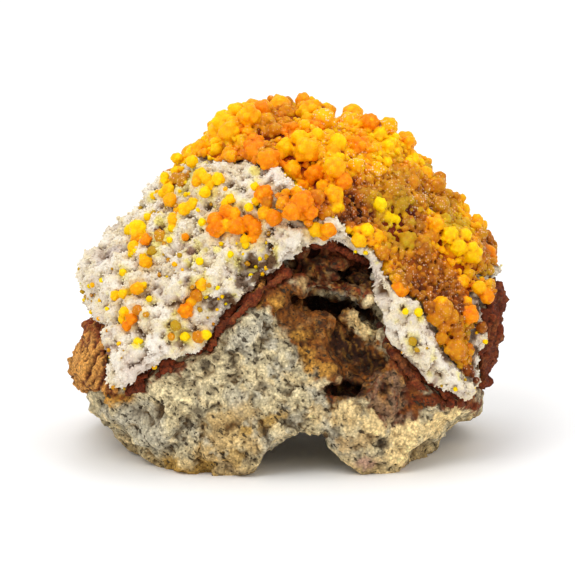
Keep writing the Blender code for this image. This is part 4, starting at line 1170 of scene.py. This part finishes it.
# Globules of the separate growths on the bare crust
growthGlobules = {
    "mimetite_left_tip": [
        (-21.2, 34.4, 1.3, "lemon"), (-22.5, 34.0, 0.9, "lemon"), (-20.8, 33.1, 1.4, "gold"),
        (-21.8, 31.7, 1.0, "yellow"), (-20.1, 32.7, 0.8, "orange"), (-22.0, 30.8, 0.7, "lemon"),
    ],
    "mimetite_left_bead": [(-20.1, 29.5, 0.95, "gold"), (-20.4, 30.2, 0.6, "yellow")],
    "mimetite_upper_left": [
        (-17.0, 39.8, 1.0, "yellow"), (-16.6, 38.4, 1.1, "gold"), (-17.5, 41.2, 0.7, "yellow"),
        (-15.9, 41.4, 0.9, "honey"), (-17.8, 39.4, 0.7, "yellow"),
    ],
    "mimetite_shoulder": [
        (-14.5, 37.1, 1.0, "yellow"), (-13.5, 37.7, 0.9, "yellow"), (-15.4, 36.7, 0.8, "gold"),
    ],
    "mimetite_crown_left": [
        (-12.4, 41.9, 1.0, "yellow"), (-11.4, 41.3, 0.9, "yellow"), (-9.9, 41.3, 1.0, "yellow"),
        (-10.8, 40.4, 0.9, "yellow"), (-12.9, 40.9, 0.8, "gold"),
    ],
    "mimetite_lower_bar": [
        (-24.3, 24.8, 0.8, "yellow"), (-23.3, 25.1, 0.7, "yellow"), (-22.5, 25.3, 0.7, "olive"),
        (-21.3, 25.8, 0.95, "gold"), (-20.4, 26.3, 0.5, "yellow"),
    ],
    "mimetite_lower_pocket": [
        (-23.1, 22.6, 0.75, "yellow"), (-23.3, 21.5, 0.7, "yellow"), (-22.0, 21.6, 0.85, "orange"),
        (-22.7, 20.6, 0.75, "orange"), (-21.2, 22.9, 0.7, "amber"),
    ],
    "mimetite_middle_bead": [
        (-14.4, 22.8, 1.05, "orange"), (-12.9, 25.0, 1.0, "amber"), (-13.7, 23.9, 0.8, "gold"),
    ],
    "mimetite_orange_cluster": [
        (-10.3, 35.6, 1.15, "orange"), (-10.1, 34.3, 1.3, "orange"), (-8.7, 36.7, 1.0, "orange"),
        (-7.6, 36.4, 1.0, "gold"), (-7.2, 34.7, 1.35, "orange"), (-5.6, 35.4, 1.0, "orange"),
        (-4.5, 34.4, 1.3, "orange"), (-4.8, 33.0, 1.1, "orange"), (-6.1, 32.7, 0.7, "yellow"),
        (-8.7, 34.8, 1.0, "gold"), (-8.9, 37.9, 0.6, "yellow"),
    ],
    "mimetite_orange_peak": [
        (-3.4, 39.2, 1.3, "orange"), (-3.0, 38.0, 0.9, "amber"), (-3.4, 36.5, 1.0, "gold"),
        (-2.0, 35.8, 1.25, "orange"), (-4.5, 38.2, 0.7, "yellow"),
    ],
    "mimetite_edge_bead": [(3.9, 34.1, 1.1, "yellow"), (3.1, 34.4, 0.7, "gold"), (5.0, 33.4, 0.8, "orange")],
    "mimetite_seam_bead": [(-12.6, 19.0, 0.9, "amber"), (-11.5, 19.4, 0.75, "lemon")],
}

# Single small globules on the crust
looseGlobules = [
    (-17.5, 41.8, 0.7, "yellow"), (-15.8, 42.5, 0.8, "yellow"), (-11.7, 39.4, 0.9, "yellow"),
    (-14.7, 40.9, 1.2, "honey"), (-16.2, 35.6, 0.9, "gold"), (-19.1, 39.0, 0.6, "yellow"),
    (-19.9, 36.0, 0.6, "yellow"), (-16.3, 34.4, 0.7, "yellow"), (-16.7, 32.7, 0.5, "yellow"),
    (-18.1, 33.3, 0.9, "honey"), (-14.5, 33.1, 0.6, "orange"), (-19.1, 31.2, 0.8, "olive"),
    (-12.1, 35.2, 0.6, "lemon"), (-6.0, 32.0, 0.6, "yellow"), (-8.2, 38.4, 0.7, "yellow"),
    (-5.5, 37.3, 0.7, "yellow"), (-4.7, 40.2, 0.6, "yellow"), (-12.4, 29.7, 0.6, "lemon"),
    (-8.1, 30.7, 0.5, "yellow"), (-23.3, 28.1, 0.6, "yellow"), (-12.1, 26.4, 0.9, "gold"),
    (-19.9, 22.2, 0.5, "honey"), (-19.5, 24.4, 0.5, "yellow"), (-21.1, 18.3, 0.7, "lemon"),
    (-16.4, 19.1, 0.6, "amber"), (-14.5, 19.1, 0.7, "lemon"), (-15.8, 20.6, 0.8, "olive"),
    (16.5, 22.6, 0.5, "lemon"), (18.3, 22.5, 0.7, "lemon"), (17.5, 18.4, 0.7, "olive"),
    (27.0, 15.0, 0.4, "yellow"),
]
dust = {                               # tiny globules strewn in drifts over the crust
    "spacing": 1.1,
    "radius": (0.16, 0.44),
    "most": 520,
    "shades": ["lemon", "yellow", "yellow", "olive", "olive", "gold", "honey"],
    "triangles": 45000,                # with the single globules
}


def rampOf(tree, value, stops):
    ramp = addNode(tree, "ShaderNodeValToRGB", {"Fac": value})
    elements = ramp.color_ramp.elements
    for element, (position, colour) in zip(elements, stops):
        element.position = position
        element.color = rgb(*colour)
    for position, colour in stops[2:]:
        elements.new(position).color = rgb(*colour)
    return ramp.outputs["Color"]


def makeMimetiteMaterial():
    material, tree, shader = newMaterial("mimetite")
    grain = useGroup(tree, grainGroup, Size=0.3, Roughness=0.6)
    broad = useGroup(tree, grainGroup, Size=1.1, Roughness=0.6)["Grain"]
    tint = worked(tree, "ADD", attribute(tree, "tint"), ranged(tree, broad, 0.3, 0.7, -0.08, 0.08), True)
    colour = mixed(tree, attribute(tree, "dull"), rampOf(tree, tint, mimetite["ramp"]),
                   rampOf(tree, tint, mimetite["dullRamp"]))
    colour = useGroup(tree, mottleGroup, Colour=colour, Grain=grain["Grain"], Contrast=0.1)["Colour"]
    # painted shade in the creases between the knobs and globules
    colour = mixed(tree, attribute(tree, "paintedCreaseShade"), colour,
                   mixed(tree, 1.0, colour, rgb(*mimetite["paintedCreaseShade"]), "MULTIPLY"))
    # painted glints: pinkish white dots from the grain's glints, where the globule's glint share is high
    paintedGlints = worked(tree, "MULTIPLY", grain["Glints"], attribute(tree, "paintedGlint"))
    colour = mixed(tree, paintedGlints, colour, rgb(*mimetite["paintedGlint"]))
    tree.links.new(colour, shader.inputs["Base Color"])
    tree.links.new(ranged(tree, grain["Grain"], 0.3, 0.8, 0.38, 0.6), shader.inputs["Roughness"])
    tree.links.new(bumped(tree, grain["Grain"], 0.1, 0.6), shader.inputs["Normal"])
    shader.inputs["Specular IOR Level"].default_value = mimetite["specular"]
    lightInside(shader, mimetite)
    return material


def knobbed(centres, radii, looks, seed):
    # smaller balls all over the globules, so that they look like bunches
    goldenAngle = 2.39996                      # from one ball to the next, which spreads them evenly
    chance = np.random.default_rng(seed)
    low, high = mimetite["knobRadius"]
    places, sizes, shown = [], [], []
    for centre, radius, look in zip(centres, radii, looks):
        size = float(np.clip(radius * chance.uniform(*mimetite["knobShare"]), low, high))
        count = int(2.6 * (radius / size) ** 2)
        steps = np.arange(count) + 0.5
        lift = 1 - 2 * steps / count
        around = steps * goldenAngle + chance.uniform(0, 6.28)
        flat = np.sqrt(1 - lift ** 2)
        ways = np.stack([flat * np.cos(around), flat * np.sin(around), lift], 1)
        ways += chance.normal(0, 0.12, (count, 3))
        ways /= np.linalg.norm(ways, axis=1)[:, None]
        stand = chance.uniform(*mimetite["knobStand"])
        reach = radius - size * (stand + chance.uniform(-0.18, 0.18, (count, 1)))
        places.append(np.asarray(centre)[None] + ways * reach)
        sizes.append(size * chance.uniform(0.75, 1.2, count))
        shown.append(np.asarray(look)[None] + chance.normal(0, 0.045, (count, 3)) * np.array((1, 0.6, 0.6)))
    return np.vstack(places), np.concatenate(sizes), np.vstack(shown)


def paintGlobules(mesh, co, centres, radii, looks):
    # each point takes its shade from the balls nearest to it; painted shade makes it deeper orange and darker
    # in the creases, and painted light makes it yellower on the tops of the knobs
    numbers, distance = nearestOf(centres, co, 4)
    outside = distance - np.asarray(radii)[numbers]
    weight = np.exp(-(outside - outside.min(1)[:, None]) / 0.1)
    weight /= weight.sum(1)[:, None]
    blend = np.einsum("nk,nkj->nj", weight, np.asarray(looks)[numbers])
    fine = hollowness(mesh, co, 5)
    wide = hollowness(mesh, co, 40)
    # painted shade and light: deeper orange in wide hollows, yellower on the tops of the knobs
    blend[:, 0] += 0.24 * ease(0.0, 0.5, wide) - 0.14 * ease(0.0, 0.1, -fine)
    for name, values in zip(("tint", "dull", "paintedGlint"), blend.T):
        keepAttribute(mesh, name, values)
    # painted crease shade: darker in the fine and wide creases
    keepAttribute(mesh, "paintedCreaseShade", 0.6 * ease(0.0, 0.11, fine) + 0.9 * ease(0.08, 0.5, wide))


def makeGlobules(name, centres, radii, looks, cell, triangles, replaced):
    knobs, knobSizes, knobLooks = knobbed(centres, radii, looks, len(name))
    cores = manyOf("cores", unitBall(3), centres, np.asarray(radii) * mimetite["core"], 0.02)
    bumps = manyOf("bumps", unitBall(2), knobs, knobSizes, 0.04)
    piece = fused(joined(name, [cores, bumps]), cell, triangles)
    mesh = piece.data
    co = pointsOf(mesh)
    lift = mimetite["fine"][0] * (0.2 + cellsAt(co, mimetite["fine"][1], 12))
    co = co + normalsOf(mesh) * lift[:, None]
    movePoints(mesh, co)
    allCentres = np.vstack([np.asarray(centres), knobs]).tolist()
    allRadii = np.concatenate([np.asarray(radii) * mimetite["core"], knobSizes])
    paintGlobules(mesh, co, allCentres, allRadii, np.vstack([np.asarray(looks), knobLooks]))
    return finishPiece(piece, mimetiteMaterial, replaced)


def makeBed():
    piece = fused(copyOfNode("mimetite_cover", "cover_bed"), mimetite["bedCell"])
    mesh = piece.data
    co = relaxed(mesh, pointsOf(mesh), mimetite["bedSoftening"])
    movePoints(mesh, co)
    # both sides of this thin layer move towards the rock, so that it stays closed and whole
    side = relaxed(mesh, np.sign(outwardness(co, normalsOf(mesh))), 4)
    movePoints(mesh, co - normalsOf(mesh) * side[:, None] * mimetite["bedSinking"])
    return piece, surfaceOf(mesh), pointsOf(mesh), normalsOf(mesh)


def seated(across, up, radius):
    # the middle of a globule that shows at (across, up) and grows on whatever is behind it there
    start = fromView(across, up, -clearOfRock)
    hits = [tree.ray_cast(start, sight)[0] for tree in (bedTree, crustTree)]
    hits = [hit for hit in hits if hit]
    if hits:
        hit = min(hits, key=lambda found: (found - start).length)
        return hit - sight * radius * mimetite["seat"]
    aim = fromView(across, up, mimetite["crestSpread"] * math.sin(across * 2.1))
    near = bedTree.find_nearest(aim)[0]
    off = aim - near
    return near + off * min(1.0, 0.6 * radius / max(off.length, 1e-6))


def globulesFrom(rows):
    # the middles, radii and looks of rows of (across, up, radius, shade)
    centres = [tuple(seated(across, up, radius)) for across, up, radius, _ in rows]
    return centres, [radius for _, _, radius, _ in rows], [shades[shade] for _, _, _, shade in rows]


def zoneLooks(centres, known, knownLooks, seed):
    # shades from the zones of the front and from the placed globules nearby
    chance = np.random.default_rng(seed)
    across, up, depth = toView(centres)
    numbers, distance = nearestOf(known, centres, 2)
    pull = 0.18 * np.exp(-(distance / 1.5) ** 2)
    total = np.full(len(centres), 0.02)
    looks = np.tile(np.array(shades["honey"]) * 0.02, (len(centres), 1))
    for index in range(2):
        looks += pull[:, [index]] * np.asarray(knownLooks)[numbers[:, index]]
        total += pull[:, index]
    for x, y, radius, shade in coverZones:
        share = np.exp(-((across - x) ** 2 + (up - y) ** 2) / radius ** 2) * ease(14, 4, depth)
        looks += share[:, None] * np.array(shades[shade])
        total += share
    looks /= total[:, None]
    drift = noiseAt(centres, 5.0, 61)
    behind = ease(4, 14, depth)[:, None]
    back = np.stack([0.42 + 0.7 * drift, 0.45 + 0.9 * noiseAt(centres, 4.0, 62), 0.3 + drift * 0], 1)
    looks = looks * (1 - behind) + back * behind
    return np.clip(looks + chance.normal(0, 1, looks.shape) * np.array((0.08, 0.12, 0.12)), 0, 1)


def scattered(co, normal, least, most, spacing, taken, seed):
    # evenly spread globules on the outside of the bed; least, most and spacing hold a number for each point
    chance = np.random.default_rng(seed)
    chosen = drawn(chance, np.flatnonzero(outwardness(co, normal) > 0), co, spacing, taken)
    radii = least[chosen] + (most - least)[chosen] * chance.uniform(0, 1, len(chosen)) ** 1.4
    return co[chosen] + normal[chosen] * (radii * mimetite["seat"] * 0.6)[:, None], radii


def clearOf(centres, placed, placedRadii):
    # leaves out what would be buried in the placed globules
    numbers, distance = nearestOf(placed.tolist(), centres, 3)
    return (distance > 0.9 * placedRadii[numbers]).all(1)


def makeCover(piece, co, normal):
    placed, placedRadii, placedLooks = [np.array(column) for column in globulesFrom(coverGlobules)]
    across, up, depth = toView(co)
    slope = ease(3.0, 9.0, across) * ease(10, 3, depth)
    behind = ease(3, 11, depth)
    least, most, spacing = [size - less * slope for size, less in mimetite["medium"]]
    medium, mediumRadii = scattered(co, normal, least, most, spacing, placed.tolist(), 5)
    least, most, spacing = [size - less * slope + more * behind for size, less, more in mimetite["small"]]
    small, smallRadii = scattered(co, normal, least, most, spacing, [], 8)
    extra = np.vstack([medium, small])
    extraRadii = np.concatenate([mediumRadii, smallRadii])
    clear = clearOf(extra, placed, placedRadii)
    clear[len(medium):] &= clearOf(small, medium, mediumRadii)
    extra, extraRadii = extra[clear], extraRadii[clear]
    centres = np.vstack([placed, extra])
    radii = np.concatenate([placedRadii, extraRadii])
    looks = np.vstack([placedLooks, zoneLooks(extra, placed.tolist(), placedLooks, 9)])
    thinned(piece, mimetite["bedTriangles"])
    bedPoints = pointsOf(piece.data)
    paintGlobules(piece.data, bedPoints, centres.tolist(), radii, looks)
    finishPiece(piece, mimetiteMaterial, ["mimetite_cover"])
    across, up, depth = toView(centres)
    behind = depth > mimetite["backFrom"]
    rightHalf = across >= mimetite["rightFrom"]
    parts = {"back": behind, "left": ~behind & ~rightHalf, "right": ~behind & rightHalf}
    for side, inside in parts.items():
        print("cover, %s: %d globules" % (side, inside.sum()))
        makeGlobules("cover_globules_" + side, centres[inside].tolist(), radii[inside], looks[inside],
                     mimetite["cells"][side], mimetite["triangles"][side], [])


def makeGrowths():
    for nodeName, globules in growthGlobules.items():
        centres, radii, looks = globulesFrom(globules)
        makeGlobules(nodeName.replace("mimetite_", "") + "_globules", centres, radii, looks,
                     mimetite["beadCell"], mimetite["beadTriangles"], [nodeName])


def makeLooseGlobules(co, normal):
    chance = np.random.default_rng(15)
    centres, radii, looks = globulesFrom(looseGlobules)
    drifts = noiseAt(co, 5.5, 71) + 0.4 * noiseAt(co, 1.8, 72) > 0.08
    outward = outwardness(co, normal) > 0
    pool = np.flatnonzero(outward & drifts & (distancesTo(coverSurface, co) > 0.5))
    chosen = drawn(chance, pool, co, np.full(len(co), dust["spacing"]), centres)[: dust["most"]]
    sizes = chance.uniform(*dust["radius"], len(chosen))
    names = chance.choice(dust["shades"], len(chosen))
    centres += (co[chosen] + normal[chosen] * sizes[:, None] * 0.3).tolist()
    radii += sizes.tolist()
    looks += [shades[name] for name in names]
    makeGlobules("loose_globules", centres, radii, looks, mimetite["beadCell"], dust["triangles"], [])


# Studio
studio = {
    "floor": (0.97, 0.97, 0.97),
    "floorSize": 6.0,                  # metres
    "sky": 0.78,
    "aim": (0, 0, 0.022),              # what the lamps point at, in metres
    "lamps": [                         # name, place in metres, size in metres, watts
        ("keyLamp", (-0.30, -0.52, 0.72), 0.5, 3.0),
        ("fillLamp", (0.6, -0.5, 0.35), 0.6, 0.7),
        ("topLamp", (0.05, 0.15, 0.75), 0.6, 1.6),
    ],
}


def makeStudio():
    shape = bmesh.new()
    bmesh.ops.create_grid(shape, x_segments=1, y_segments=1, size=studio["floorSize"] / 2)
    mesh = bpy.data.meshes.new("floor")
    shape.to_mesh(mesh)
    shape.free()
    floor = linked("floor", mesh)
    material, tree, shader = newMaterial("paleFloor")
    shader.inputs["Base Color"].default_value = rgb(*studio["floor"])
    shader.inputs["Roughness"].default_value = 0.7
    mesh.materials.append(material)

    world = bpy.data.worlds.new("softSky")
    bpy.context.scene.world = world
    world.use_nodes = True
    background = world.node_tree.nodes["Background"]
    background.inputs["Color"].default_value = rgb(1, 1, 1)
    background.inputs["Strength"].default_value = studio["sky"]
    for name, where, size, watts in studio["lamps"]:
        light = bpy.data.lights.new(name, "AREA")
        light.size = size
        light.energy = watts
        lamp = linked(name, light)
        lamp.location = where
        lamp.rotation_euler = (Vector(studio["aim"]) - Vector(where)).to_track_quat("-Z", "Y").to_euler()
    bpy.context.scene.view_settings.view_transform = "Standard"
    bpy.context.scene.view_settings.look = "None"


def makeCamera():
    lens = bpy.data.cameras.new("camera")
    lens.sensor_width = 36.0
    lens.lens = lens.sensor_width * view["distance"] / view["pictureWidth"]
    lens.clip_start = 0.01
    lens.clip_end = 20.0
    camera = linked("camera", lens)
    camera.location = (fromView(*view["middle"]) - sight * view["distance"]) * toMetres
    camera.rotation_euler = sight.to_track_quat("-Z", "Y").to_euler()
    bpy.context.scene.camera = camera


makeCamera()
makeStudio()
print("camera and studio ready")
seamSurface = surfaceOf(meshOfNode("iron_oxide_seam"))
coverSurface = surfaceOf(meshOfNode("mimetite_cover"))
crustMaterial, crustShader = makeStoneMaterial("whiteCrust", crust)
lightInside(crustShader, crust)
mimetiteMaterial = makeMimetiteMaterial()
makeRock()
makeOxide()
plainCrust, crustTree, crustPoints, crustNormals = makeCrust()
makeCrustGrains(plainCrust, crustPoints, crustNormals)
bed, bedTree, bedPoints, bedNormals = makeBed()
makeCover(bed, bedPoints, bedNormals)
makeGrowths()
makeLooseGlobules(crustPoints, crustNormals)
